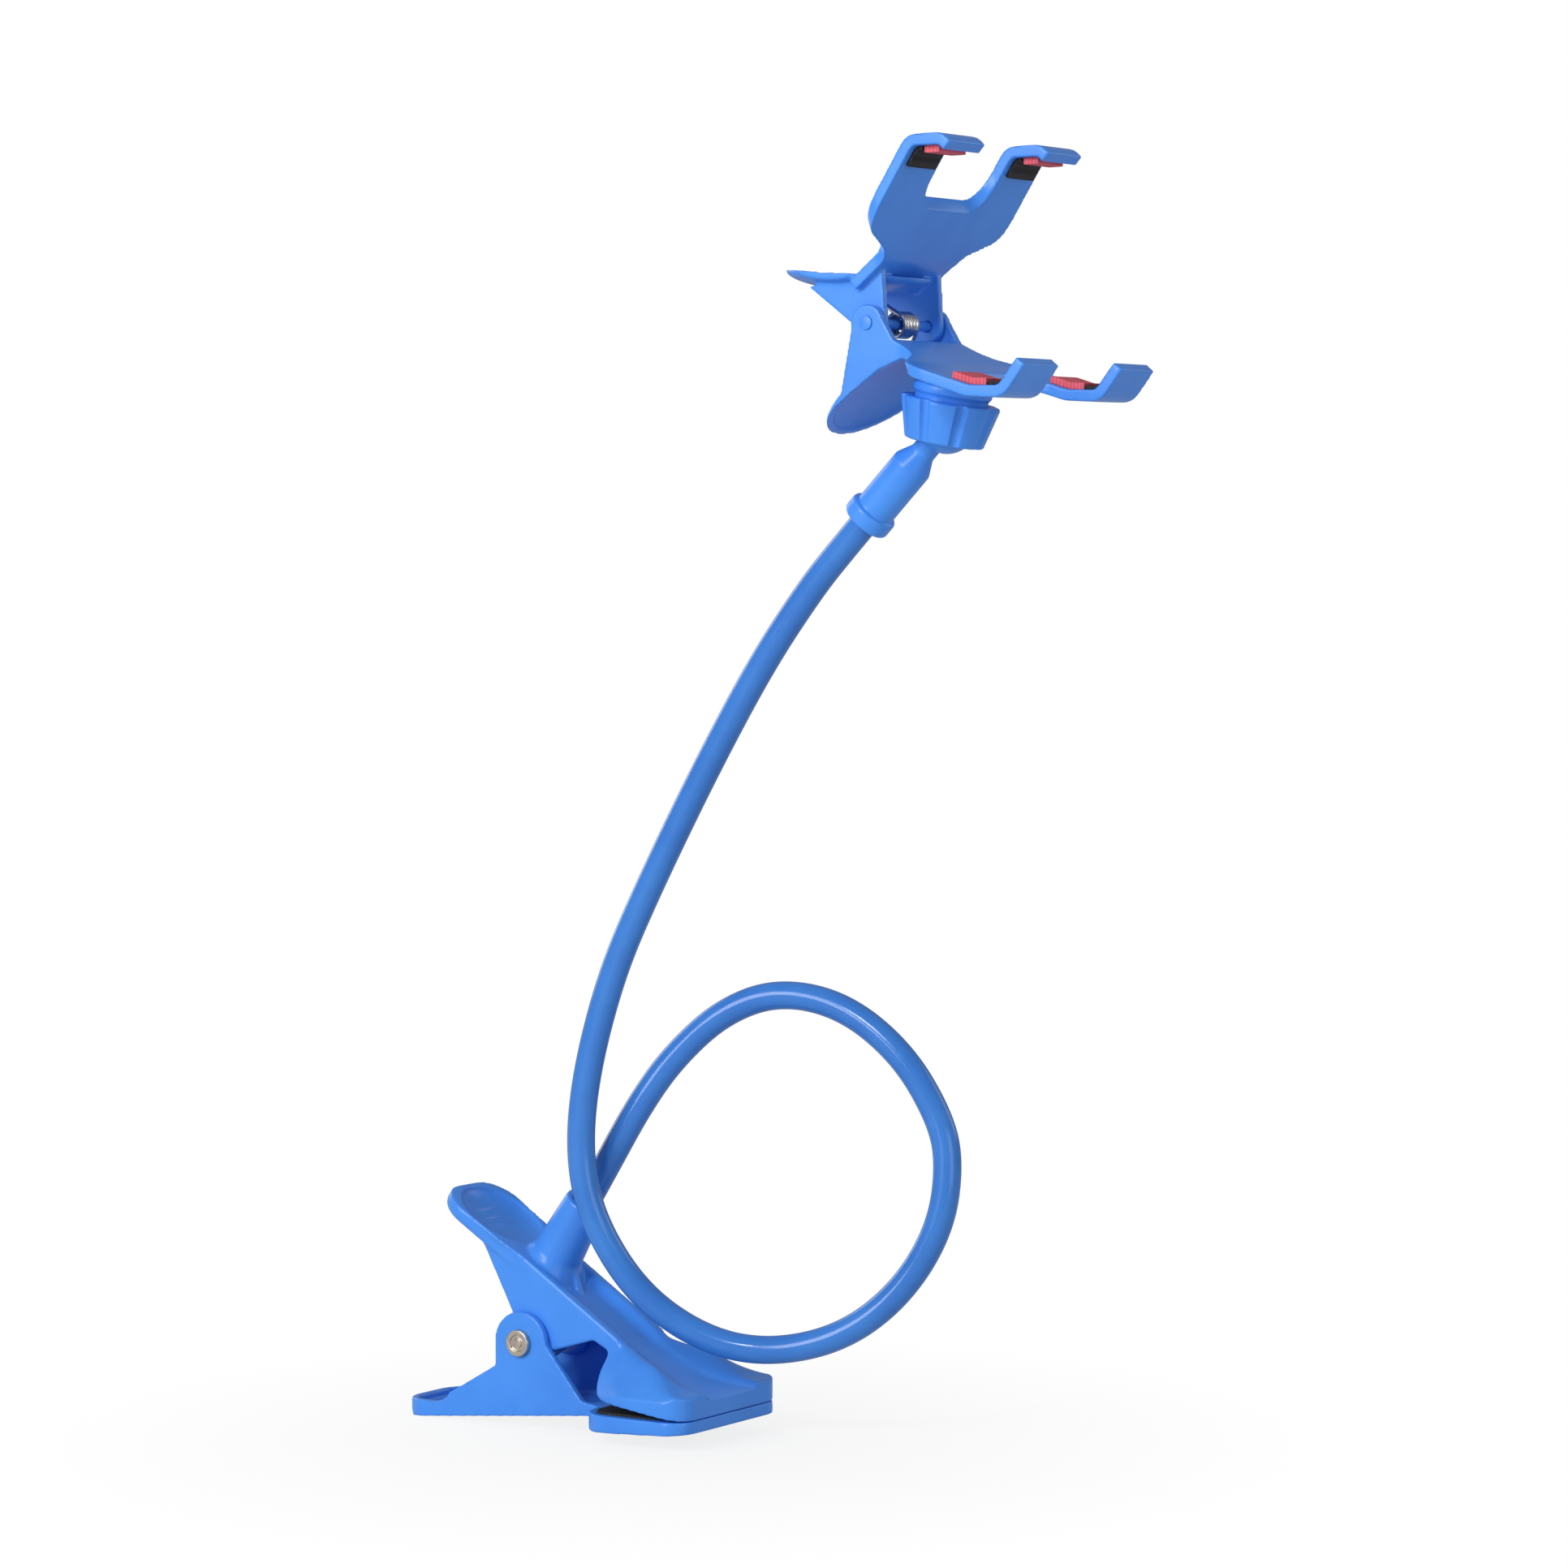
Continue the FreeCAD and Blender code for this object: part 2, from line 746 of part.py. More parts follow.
def cut_trough(body):
    """Trough down the top of the lever, between its two rims."""
    base = (0, s.pin_z - s.trough_rear * sine(s.slope), s.pin_x + s.trough_rear * cosine(s.slope))
    section = new_sketch(body, "trough", "YZ_Plane", base, AXIS_X, s.slope)
    floor = s.upper_top - s.trough_depth
    draw_trough(section, floor, s.trough_half_floor, s.trough_corner_radius)
    pocket(body, section, s.trough_front - s.trough_rear, symmetric=False, back=True)


def cut_valley(body):
    """The trough's end, which widens over the jaw's top and flattens towards the toe."""
    rear_z = slope_height(s.valley_rear_x, s.upper_top - s.trough_depth) + s.valley_rear_rise
    sections = []
    for name, x, z, half_floor, corner in (
        (
            "valley_rear", s.valley_rear_x, rear_z, s.valley_rear_half_floor,
            s.trough_corner_radius,
        ),
        (
            "valley_middle", s.valley_middle_x, s.valley_middle_z, s.valley_middle_half_floor,
            s.valley_corner_radius,
        ),
        (
            "valley_toe", 2 * s.jaw_toe_x - s.valley_middle_x, s.valley_toe_z,
            s.valley_toe_half_floor, s.valley_corner_radius,
        ),
    ):
        section = new_sketch(body, name, "YZ_Plane", (0, 0, x))
        draw_trough(section, z, half_floor, corner)
        sections.append(section)
    valley = body.newObject("PartDesign::SubtractiveLoft", "valley")
    valley.Profile = sections[0]
    valley.Sections = sections[1:]


def cut_boss_socket(body):
    """Blind socket down the middle of the boss."""
    boss_x, boss_z = on_slope(s.boss_along, 0)
    bore = new_sketch(body, "boss_bore", "XZ_Plane", (boss_x, boss_z, 0), -AXIS_Z, s.slope)
    radius = s.sheath_diameter / 2 + s.socket_clearance
    floor = s.boss_top - s.boss_socket_depth
    high = s.boss_top + radius
    draw_outline(bore, [(0, floor), (radius, floor), (radius, high), (0, high)])
    turn(body, bore, "Groove")
    screw = new_sketch(body, "screw_bore", "XZ_Plane", (boss_x, boss_z, 0), -AXIS_Z, s.slope)
    radius = s.screw_diameter / 2 + s.socket_clearance
    high = floor + radius
    draw_outline(screw, [(0, 0), (radius, 0), (radius, high), (0, high)])
    turn(body, screw, "Groove")


def cut_thumb_dish(body):
    """Shallow oval dish in the thumb plate, with grip ribs across it."""
    middle_along = s.thumb_length / 2 - s.thumb_end
    middle_x, middle_z = on_slope(middle_along, s.upper_top)
    add_oval(
        body, "thumb_dish", "Subtractive", "XY_Plane", (middle_x, 0, middle_z), AXIS_Y, s.slope,
        (s.thumb_dish_half_length, s.thumb_dish_half_width, s.thumb_dish_depth),
    )
    floor_x, floor_z = on_slope(middle_along, s.upper_top - s.thumb_dish_depth)
    ribs = new_sketch(body, "thumb_ribs", "XY_Plane", (floor_x, 0, floor_z), AXIS_Y, s.slope)
    half = s.thumb_rib_half_length
    for step in (-1, 0, 1):
        low = s.thumb_rib_spacing * step - s.thumb_rib_width / 2
        draw_box(ribs, low, -half, low + s.thumb_rib_width, half)
    pad(body, ribs, 2 * s.thumb_rib_height)


def drill_pin_hole(body, name):
    """Bearing hole for the clamp pin."""
    hole = new_sketch(body, f"{name}_pin_hole", "XZ_Plane")
    draw_circle(hole, s.pin_x, s.pin_z, s.pin_diameter / 2 + s.pin_clearance)
    pocket(body, hole, CLEAR_OF_ALL)


def clamp_lower_jaw():
    """Lever with the handle, the ears round the pin and the broad lower jaw, one moulding."""
    body = new_body("clamp_lower_jaw")
    outer = s.upper_width + 2 * s.side_clearance + 2 * s.lower_wall
    plan = new_sketch(body, "lower_jaw_plan", "XY_Plane", (0, 0, s.jaw_meeting_z))
    draw_outline(plan, jaw_plan(s.lower_heel_x, s.jaw_toe_radius, s.lower_heel_radius))
    pad(body, plan, s.lower_jaw_thickness, symmetric=False, back=True)
    below = new_sketch(body, "lower_jaw_underside", "XZ_Plane")
    heel_low = s.jaw_meeting_z - s.lower_jaw_thickness
    toe_low = s.jaw_meeting_z - s.lower_toe_thickness
    deep = -CLEAR_OF_ALL
    draw_outline(
        below,
        [(s.lower_heel_x, heel_low), (s.jaw_toe_x, toe_low), (s.jaw_toe_x, deep),
         (s.lower_heel_x, deep)],
    )
    pocket(body, below, CLEAR_OF_ALL)
    walls = new_sketch(body, "lower_walls", "XZ_Plane")
    jaw_side = s.lower_heel_x + s.lower_wall
    draw_outline(
        walls,
        [
            (s.handle_bottom_x, s.handle_bottom_z),
            (s.belly_x, s.belly_z),
            (jaw_side, s.belly_z),
            (jaw_side, s.jaw_meeting_z),
            (s.front_edge_x, s.front_edge_z),
            (s.pin_x + s.ear_radius, s.pin_z),
            (s.pin_x - s.ear_radius, s.pin_z),
            (s.pin_x - s.ear_radius, s.ear_foot_z),
            (s.handle_shoulder_x, s.handle_shoulder_z),
            (s.handle_tip_x, s.handle_tip_z),
        ],
    )
    pad(body, walls, outer)
    ear = new_sketch(body, "ear", "XZ_Plane")
    draw_circle(ear, s.pin_x, s.pin_z, s.ear_radius)
    pad(body, ear, outer)
    round_handle_end(body, outer / 2)
    cut_lower_channel(body, outer / 2 - s.lower_wall)
    recess = new_sketch(body, "lower_lining_recess", "XY_Plane", (0, 0, s.jaw_meeting_z))
    draw_outline(recess, lining_plan(s.lower_heel_x, s.jaw_toe_x, 0))
    pocket(body, recess, s.lining_thickness - s.lining_proud, symmetric=False)
    drill_pin_hole(body, "lower")
    return body


def round_handle_end(body, half):
    """Cut away all that lies outside the round-cornered end of the handle."""
    end = new_sketch(body, "handle_end", "XY_Plane")
    rear, front, away = s.handle_tip_x, s.handle_shoulder_x, s.handle_end_radius
    draw_outline(
        end,
        [
            (front, half),
            (rear, half, s.handle_end_radius),
            (rear, -half, s.handle_end_radius),
            (front, -half),
            (front, -half - away),
            (rear - away, -half - away),
            (rear - away, half + away),
            (front, half + away),
        ],
    )
    pocket(body, end, CLEAR_OF_ALL)


def cut_lower_channel(body, half):
    """Hollow of the lower lever, open upwards, with a round end in its handle."""
    base = (s.handle_bottom_x, 0, s.handle_bottom_z + s.lower_floor)
    hollow = new_sketch(body, "lower_channel", "XY_Plane", base, -AXIS_Y, floor_slope())
    rear = s.handle_tip_x - s.handle_bottom_x + s.lower_wall
    front = s.belly_x - s.handle_bottom_x
    corner = s.handle_end_radius - s.lower_wall
    draw_outline(
        hollow, [(rear, -half, corner), (front, -half), (front, half), (rear, half, corner)]
    )
    pocket(body, hollow, CLEAR_OF_ALL, symmetric=False, back=True)


def lining_plan(jaw_heel, jaw_toe, gap):
    """Plan outline of a lining, or with no gap of its recess."""
    inset = s.lining_inset + gap
    half = s.jaw_half_width - inset
    heel, toe = jaw_heel + inset, jaw_toe - s.lining_toe_gap - gap
    radius = s.lining_corner_radius
    return [
        (heel, -half, radius),
        (toe, -half, radius),
        (toe, half, radius),
        (heel, half, radius),
    ]


def lower_jaw_pad():
    """Rubber lining let into the lower jaw."""
    body = new_body("lower_jaw_pad")
    floor = s.jaw_meeting_z - s.lining_thickness + s.lining_proud
    plan = new_sketch(body, "lower_lining", "XY_Plane", (0, 0, floor))
    draw_outline(plan, lining_plan(s.lower_heel_x, s.jaw_toe_x, s.lining_clearance))
    pad(body, plan, s.lining_thickness, symmetric=False)
    return body


def upper_lining_sketch(body, name, gap, proud):
    """The lining's outline in a plane that lies proud of the upper jaw's tilted gripping face."""
    base_x = s.jaw_toe_x - proud * sine(s.jaw_gape)
    base_z = s.jaw_meeting_z - proud * cosine(s.jaw_gape)
    sketch = new_sketch(body, name, "XY_Plane", (base_x, 0, base_z), AXIS_Y, s.jaw_gape)
    jaw_length = (s.jaw_toe_x - s.jaw_heel_x) / cosine(s.jaw_gape)
    draw_outline(sketch, lining_plan(-jaw_length, as_size(0), gap))
    return sketch


def upper_jaw_pad():
    """Rubber lining let into the upper jaw."""
    body = new_body("upper_jaw_pad")
    plan = upper_lining_sketch(body, "upper_lining", s.lining_clearance, s.lining_proud)
    pad(body, plan, s.lining_thickness, symmetric=False)
    return body


def clamp_half_width():
    """From the middle of the clamp to the outside of its lower lever's ears."""
    return s.upper_width / 2 + s.side_clearance + s.lower_wall


def clamp_pin():
    """Steel pin with a flat recessed head on the near side."""
    body = new_body("clamp_pin")
    half = clamp_half_width()
    head = -half - s.pin_clearance
    face = head - s.pin_head_height
    head_radius, shank = s.pin_head_diameter / 2, s.pin_diameter / 2
    edge = s.pin_head_height / 3
    profile = new_sketch(body, "clamp_pin_profile", "XZ_Plane")
    draw_outline(
        profile,
        [
            (0, face + edge / 2),
            (s.pin_stud_diameter / 2, face + edge / 2),
            (s.pin_stud_diameter / 2, face + s.pin_recess_depth),
            (s.pin_recess_diameter / 2, face + s.pin_recess_depth),
            (s.pin_recess_diameter / 2, face),
            (head_radius - edge, face),
            (head_radius, face + edge),
            (head_radius, head),
            (shank, head),
            (shank, half + s.pin_nut_height + s.pin_recess_depth),
            (0, half + s.pin_nut_height + s.pin_recess_depth),
        ],
    )
    turn(body, profile)
    place_body(body, s.pin_x, 0, s.pin_z, -AXIS_X, 90)
    return body


def clamp_pin_nut():
    """Hexagon nut on the pin's far end."""
    body = new_body("clamp_pin_nut")
    low = clamp_half_width() + s.pin_clearance
    plan = new_sketch(body, "nut_plan", "XY_Plane", (0, 0, low))
    corner = s.pin_nut_width / root(as_size(3))
    draw_outline(plan, [(corner * cosine(60 * i), corner * sine(60 * i)) for i in range(6)])
    draw_circle(plan, 0, 0, s.pin_diameter / 2 + s.pin_clearance)
    pad(body, plan, s.pin_nut_height, symmetric=False)
    place_body(body, s.pin_x, 0, s.pin_z, -AXIS_X, 90)
    return body


def torsion_spring(name, centre, wire, radius, turns, legs):
    """Coil round a pin that lies along +Y, with a straight leg to each of two seats.

    Each leg is given by its own direction, the direction of its seat's normal, and how far the seat
    lies from the pin, with angles from +X towards +Z.
    """
    (upper_angle, upper_normal, upper_seat), (lower_angle, lower_normal, lower_seat) = legs
    start_angle = upper_angle - 90
    end_angle = lower_angle + 90
    swept = start_angle - end_angle + 360 * turns
    pitch = wire + s.spring_gap
    height = pitch * swept / 360
    coil = doc.addObject("Part::Helix", f"{name}_coil")
    coil.LocalCoord = "Right-handed"
    bind(coil, Pitch=pitch, Height=height, Radius=radius)
    turned = FreeCAD.Rotation(AXIS_Y, -start_angle.value) * FreeCAD.Rotation(AXIS_X, -90)
    middle = FreeCAD.Vector(centre[0].value, -height.value / 2, centre[1].value)
    coil.Placement = FreeCAD.Placement(middle, turned)
    rise = math.atan2(pitch.value, 2 * math.pi * radius.value)
    ends = []
    for angle, sign, level in ((start_angle, -1, 0), (end_angle, 1, height.value)):
        turned_by = math.radians(angle.value)
        spot = FreeCAD.Vector(
            radius.value * math.cos(turned_by), level, radius.value * math.sin(turned_by)
        )
        along = FreeCAD.Vector(math.sin(turned_by), 0, -math.cos(turned_by)) * math.cos(rise)
        ends.append((middle + spot, (along + AXIS_Y * math.sin(rise)) * sign))
    section = doc.addObject("Part::Circle", f"{name}_section")
    bind(section, Radius=wire / 2)
    onward = ends[0][1] * -1
    section.Placement = FreeCAD.Placement(ends[0][0], FreeCAD.Rotation(AXIS_Z, onward))
    doc.recompute()
    sweep = doc.addObject("Part::Sweep", f"{name}_wound")
    sweep.Sections = [section]
    sweep.Spine = (coil, [f"Edge{i + 1}" for i in range(len(coil.Shape.Edges))])
    sweep.Solid = True
    sweep.Frenet = True
    pieces = [sweep]
    seats = (
        (upper_angle, upper_normal, upper_seat, start_angle),
        (lower_angle, lower_normal, lower_seat, end_angle),
    )
    for i, (angle, normal, seat, tangent_angle) in enumerate(seats):
        reach = seat - wire / 2 - s.spring_seat_gap - radius * cosine(tangent_angle - normal)
        leg = doc.addObject("Part::Cylinder", f"{name}_leg_{i + 1}")
        bind(leg, Radius=wire / 2, Height=reach / cosine(angle - normal))
        leg.Placement = FreeCAD.Placement(ends[i][0], FreeCAD.Rotation(AXIS_Z, ends[i][1]))
        pieces.append(leg)
    whole = doc.addObject("Part::MultiFuse", name)
    whole.Shapes = pieces
    whole.Label = name
    return whole


def clamp_spring():
    """Spring that holds the clamp shut."""
    upper_seat = s.upper_top - s.upper_plate
    floor_tilt = floor_slope()
    floor_depth = s.pin_z - lower_floor_underside(s.pin_x) - s.lower_floor
    lower_seat = floor_depth * cosine(floor_tilt)
    return torsion_spring(
        "clamp_spring", (s.pin_x, s.pin_z), s.spring_wire, s.spring_radius, s.spring_turns,
        (
            (s.spring_upper_angle - s.slope, 90 - s.slope, upper_seat),
            (s.spring_lower_angle, 270 + floor_tilt, lower_seat),
        ),
    )


def floor_slope():
    """Angle of the lower lever's floor, rising towards the jaw."""
    rise, run = s.belly_z - s.handle_bottom_z, s.belly_x - s.handle_bottom_x
    angle = math.degrees(math.atan2(rise.value, run.value))
    return Size(angle, f"(atan({(rise / run).formula}) / 1 deg)")


def boss_screw():
    """Pan-head screw from inside the lever that holds the core in the boss."""
    body = new_body("boss_screw")
    profile = new_sketch(body, "boss_screw_profile", "XZ_Plane")
    seat = s.upper_top - s.upper_plate
    head, shank = s.screw_head_diameter / 2, s.screw_diameter / 2
    tip = s.boss_top - s.boss_socket_depth + s.screw_reach
    rim = s.screw_head_height / 2
    draw_outline(
        profile,
        [
            (0, seat - s.screw_head_height),
            (head - rim, seat - s.screw_head_height),
            (head, seat - s.screw_head_height + rim),
            (head, seat),
            (shank, seat),
            (shank, tip),
            (0, tip),
        ],
    )
    turn(body, profile)
    boss_x, boss_z = on_slope(s.boss_along, 0)
    place_body(body, boss_x, 0, boss_z, AXIS_Y, s.slope)
    return body


# Gooseneck

# The arm's middle line between the boss and the ball stem, chosen by eye: up out of the boss, once
# round to the front and back under itself on the near side, then up in one long bend
ROUTE = [
    (-17.0, 4.0, 89.4),
    (-7.4, 8.5, 104.4),
    (7.7, 13.0, 118.8),
    (25.2, 18.0, 125.6),
    (46.2, 22.0, 122.0),
    (65.6, 24.0, 108.4),
    (78.0, 25.0, 90.4),
    (82.6, 24.0, 76.8),
    (81.4, 21.0, 56.8),
    (70.2, 17.0, 36.8),
    (53.2, 11.0, 22.4),
    (30.7, 5.0, 16.4),
    (11.2, -2.0, 19.6),
    (-8.8, -8.0, 32.5),
    (-22.6, -12.0, 53.4),
    (-27.8, -13.0, 73.3),
    (-26.3, -12.0, 98.5),
    (-17.6, -10.0, 131.0),
    (-5.9, -7.0, 157.6),
    (12.9, -4.0, 193.8),
    (31.9, -2.0, 226.0),
    (48.0, 0.0, 248.4),
]

# Share of the shorter run beside a point that its arc takes up
ARC_SHARE = 0.45


def on_stem(distance):
    """A point of the ball stem's axis, that far below the ball's centre."""
    return s.ball_x - distance * sine(s.stem_lean), s.ball_z - distance * cosine(s.stem_lean)


def arm_points():
    """The whole middle line: straight out of the boss, the route, and straight into the stem."""
    boss_ends = (s.boss_top - s.boss_socket_depth, s.boss_top + s.boss_lead)
    stem_ends = (s.collar_end + s.stem_lead, s.collar_end - s.stem_socket_depth)
    first = [on_slope(s.boss_along, up) for up in boss_ends]
    last = [on_stem(distance) for distance in stem_ends]
    points = [FreeCAD.Vector(x.value, 0, z.value) for x, z in first]
    points += [FreeCAD.Vector(*point) for point in ROUTE]
    points += [FreeCAD.Vector(x.value, 0, z.value) for x, z in last]
    return points


def arm_path(points):
    """Straight runs joined by tangent arcs, and the arcs' radii."""
    edges, radii = [], []
    here = points[0]
    for before, corner, after in zip(points, points[1:], points[2:]):
        back, onward = before - corner, after - corner
        reach = ARC_SHARE * min(back.Length, onward.Length)
        back.normalize()
        onward.normalize()
        half_turn = (math.pi - back.getAngle(onward)) / 2
        radius = reach / math.tan(half_turn)
        start, end = corner + back * reach, corner + onward * reach
        inward = (back + onward).normalize()
        middle = corner + inward * (radius / math.cos(half_turn) - radius)
        edges.append(Part.LineSegment(here, start).toShape())
        edges.append(Part.Arc(start, middle, end).toShape())
        radii.append(radius)
        here = end
    edges.append(Part.LineSegment(here, points[-1]).toShape())
    return Part.Wire(edges), radii


def swept_round(name, route, radius):
    """A round bar of that radius along the arm's path."""
    path = route.Shape
    first = path.Edges[0]
    start = first.Vertexes[0].Point
    heading = first.Vertexes[1].Point - start
    section = doc.addObject("Part::Circle", f"{name}_section")
    bind(section, Radius=radius)
    section.Placement = FreeCAD.Placement(start, FreeCAD.Rotation(AXIS_Z, heading))
    doc.recompute()
    sweep = doc.addObject("Part::Sweep", name)
    sweep.Sections = [section]
    sweep.Spine = (route, [f"Edge{i}" for i in range(1, len(path.Edges) + 1)])
    sweep.Solid = True
    return sweep


def gooseneck():
    """Plastic sheath over the bendable steel core."""
    path, radii = arm_path(arm_points())
    print("gooseneck length", round(path.Length, 1), "arc radii", [round(r) for r in radii])
    route = doc.addObject("Part::Feature", "gooseneck_route")
    route.Shape = path
    outer = swept_round("sheath_outside", route, s.sheath_diameter / 2)
    inner = swept_round("sheath_bore", route, s.core_diameter / 2 + s.core_clearance)
    sheath = doc.addObject("Part::Cut", "gooseneck_sheath")
    sheath.Base, sheath.Tool = outer, inner
    core_bar = swept_round("core_bar", route, s.core_diameter / 2)
    screw_hole = doc.addObject("Part::Cylinder", "core_screw_hole")
    low = s.boss_top - s.boss_socket_depth
    deep = s.screw_reach + s.screw_diameter / 2
    bind(screw_hole, Radius=s.screw_diameter / 2 + s.socket_clearance, Height=deep)
    hole_x, hole_z = on_slope(s.boss_along, low)
    place_body(screw_hole, hole_x, 0, hole_z, AXIS_Y, s.slope)
    core = doc.addObject("Part::Cut", "gooseneck_core")
    core.Base, core.Tool = core_bar, screw_hole
    for item in (sheath, core):
        item.Label = item.Name
    return sheath, core


# Ball joint

def ball_stem():
    """Collar, sleeve, neck and ball in one moulding, in a frame with the ball at its origin."""
    body = new_body("ball_stem")
    bore = s.sheath_diameter / 2 + s.stem_clearance
    profile = new_sketch(body, "stem_profile", "XZ_Plane")
    draw_outline(
        profile,
        [
            (0, s.stem_socket_depth - s.collar_end),
            (bore, s.stem_socket_depth - s.collar_end),
            (bore, -s.collar_end),
            (s.collar_radius, -s.collar_end, 1),
            (s.collar_radius, -s.collar_start, 1),
            (s.sleeve_radius, -s.collar_start),
            (s.sleeve_radius, -s.shoulder_start, 2),
            (s.neck_radius, -s.neck_length, 2),
            (s.neck_radius, 0),
            (0, 0),
        ],
    )
    turn(body, profile)
    ball = body.newObject("PartDesign::AdditiveSphere", "ball")
    bind(ball, Radius=s.ball_radius)
    place_body(body, s.ball_x, 0, s.ball_z, AXIS_Y, s.stem_lean)
    return body


def lock_nut():
    """Fluted nut that closes the split socket on the ball, with the ball's centre at its origin."""
    body = new_body("lock_nut")
    bore = s.thread_radius + s.thread_clearance
    profile = new_sketch(body, "nut_profile", "XZ_Plane")
    draw_outline(
        profile,
        [
            (s.nut_mouth_radius, -s.nut_bottom),
            (s.nut_bottom_radius, -s.nut_bottom, 0.8),
            (s.nut_top_radius, s.nut_top, 0.8),
            (bore, s.nut_top),
            (bore, -s.collet_shoulder - s.thread_clearance),
            (s.nut_mouth_radius, -s.collet_bottom - s.thread_clearance),
        ],
    )
    turn(body, profile)
    flute = body.newObject("PartDesign::SubtractiveLoft", "nut_flute")
    rings = []
    for name, level, edge in (
        ("flute_low", -s.nut_bottom - s.nut_flute_depth, s.nut_bottom_radius),
        ("flute_high", s.nut_top + s.nut_flute_depth, s.nut_top_radius),
    ):
        ring = new_sketch(body, name, "XY_Plane", (0, 0, level))
        draw_circle(ring, edge + s.nut_flute_radius - s.nut_flute_depth, 0, s.nut_flute_radius)
        rings.append(ring)
    flute.Profile = rings[0]
    flute.Sections = rings[1:]
    flutes = body.newObject("PartDesign::PolarPattern", "nut_flutes")
    flutes.Originals = [flute]
    flutes.Axis = (profile, ["V_Axis"])
    flutes.Angle = 360
    bind(flutes, Occurrences=s.nut_flutes)
    body.Tip = flutes
    place_body(body, s.ball_x, 0, s.ball_z, AXIS_Y, s.nut_lean)
    return body


# Phone clip, in a frame with the clip pin at its origin and +x towards the phone

def in_clip(x, z):
    """A point of the holder in the clip's own frame."""
    dx, dz = x - s.clip_x, z - s.clip_z
    along = dx * cosine(s.clip_lean) + dz * sine(s.clip_lean)
    up = dz * cosine(s.clip_lean) - dx * sine(s.clip_lean)
    return along, up


def place_in_clip(body):
    """Put a body that is drawn in the clip's frame at its place in the holder."""
    place_body(body, s.clip_x, 0, s.clip_z, -AXIS_Y, s.clip_lean)


def sheet_outline(start, runs, near, far):
    """Outline of a bent sheet: what lies between two distances to the left of a line of runs.

    Each run is its angle, its length and the line's radius where it bends into the next one.
    """
    knots = [start]
    for angle, length, radius in runs:
        x, z = knots[-1]
        knots.append((x + length * cosine(angle), z + length * sine(angle)))

    def corner(i, offset):
        before, after = runs[max(i - 1, 0)][0], runs[min(i, len(runs) - 1)][0]
        mean, half_turn = (before + after) / 2, (after - before) / 2
        x = knots[i][0] - offset * sine(mean) / cosine(half_turn)
        z = knots[i][1] + offset * cosine(mean) / cosine(half_turn)
        if i in (0, len(runs)):
            return x, z
        radius = runs[i - 1][2]
        return x, z, (radius - offset if half_turn.value > 0 else radius + offset)

    count = len(knots)
    return [corner(i, near) for i in range(count)] + [corner(i, far) for i in reversed(range(count))]


def lower_runs():
    """Runs of the lower jaw's outer side."""
    return [
        (s.lower_root_angle, s.lower_root_length, s.arm_bend_radius),
        (s.lower_arm_angle, s.lower_arm_length, s.arm_bend_radius),
        (s.lower_palm_angle, s.lower_palm_length, s.lip_bend_radius),
        (s.lower_lip_angle, s.lower_lip_length, None),
    ]


def upper_runs():
    """Runs of the upper jaw's outer side."""
    return [
        (s.upper_root_angle, s.upper_root_length, s.arm_bend_radius),
        (s.upper_arm_angle, s.upper_arm_length, s.upper_knee_radius),
        (s.upper_palm_angle, s.upper_palm_length, s.lip_bend_radius),
        (s.upper_lip_angle, s.upper_lip_length, None),
    ]


def knot_after(start, runs, count):
    """The end of the first runs of a line."""
    x, z = start
    for angle, length, radius in runs[:count]:
        x, z = x + length * cosine(angle), z + length * sine(angle)
    return x, z


def trim_jaw_plan(body, name, toe_x):
    """Cut the jaw's plan: a narrow root that flares into two fingers."""
    plan = new_sketch(body, name, "XY_Plane")
    far = s.finger_pitch / 2 + s.finger_width / 2
    fork = s.finger_pitch / 2 - s.finger_width / 2
    narrow = s.cheek_half_width
    flare, wide = s.flare_x - s.flare_run, s.flare_x
    tip = s.finger_end_radius
    draw_box(plan, -CLEAR_OF_ALL, -CLEAR_OF_ALL, CLEAR_OF_ALL, CLEAR_OF_ALL)
    draw_outline(
        plan,
        [
            (-CLEAR_OF_ALL / 2, -narrow),
            (flare, -narrow, s.flare_radius),
            (wide, -far, s.flare_radius),
            (toe_x, -far, tip),
            (toe_x, -fork, tip),
            (s.fork_x, -fork, s.fork_radius),
            (s.fork_x, fork, s.fork_radius),
            (toe_x, fork, tip),
            (toe_x, far, tip),
            (wide, far, s.flare_radius),
            (flare, narrow, s.flare_radius),
            (-CLEAR_OF_ALL / 2, narrow),
        ],
    )
    return pocket(body, plan, CLEAR_OF_ALL)


def add_cheeks(body, name, half_width, corners, radius):
    """Two side plates round the clip pin."""
    for side, label in ((-1, "near"), (1, "far")):
        level = (half_width - s.cheek_thickness / 2) * side
        plate = new_sketch(body, f"{name}_{label}", "XZ_Plane", (0, 0, level))
        draw_outline(plate, corners)
        pad(body, plate, s.cheek_thickness)
        eye = new_sketch(body, f"{name}_{label}_eye", "XZ_Plane", (0, 0, level))
        draw_circle(eye, 0, 0, radius)
        pad(body, eye, s.cheek_thickness)


def add_bowl(body, name, angle, tip, offset, outward, kind, inset, depth):
    """Half an oval whose flat side is the rim plane of a handle, to add as bowl or cut as dish."""
    centre = tip - s.bowl_radius
    x = centre * cosine(angle) + offset * sine(angle) * outward
    z = centre * sine(angle) - offset * cosine(angle) * outward
    tilt = 180 - angle if outward > 0 else 360 - angle
    radius = s.bowl_radius - inset
    return add_oval(
        body, name, kind, "XY_Plane", (x, 0, z), AXIS_Y, tilt, (radius, radius, depth), half=True
    )


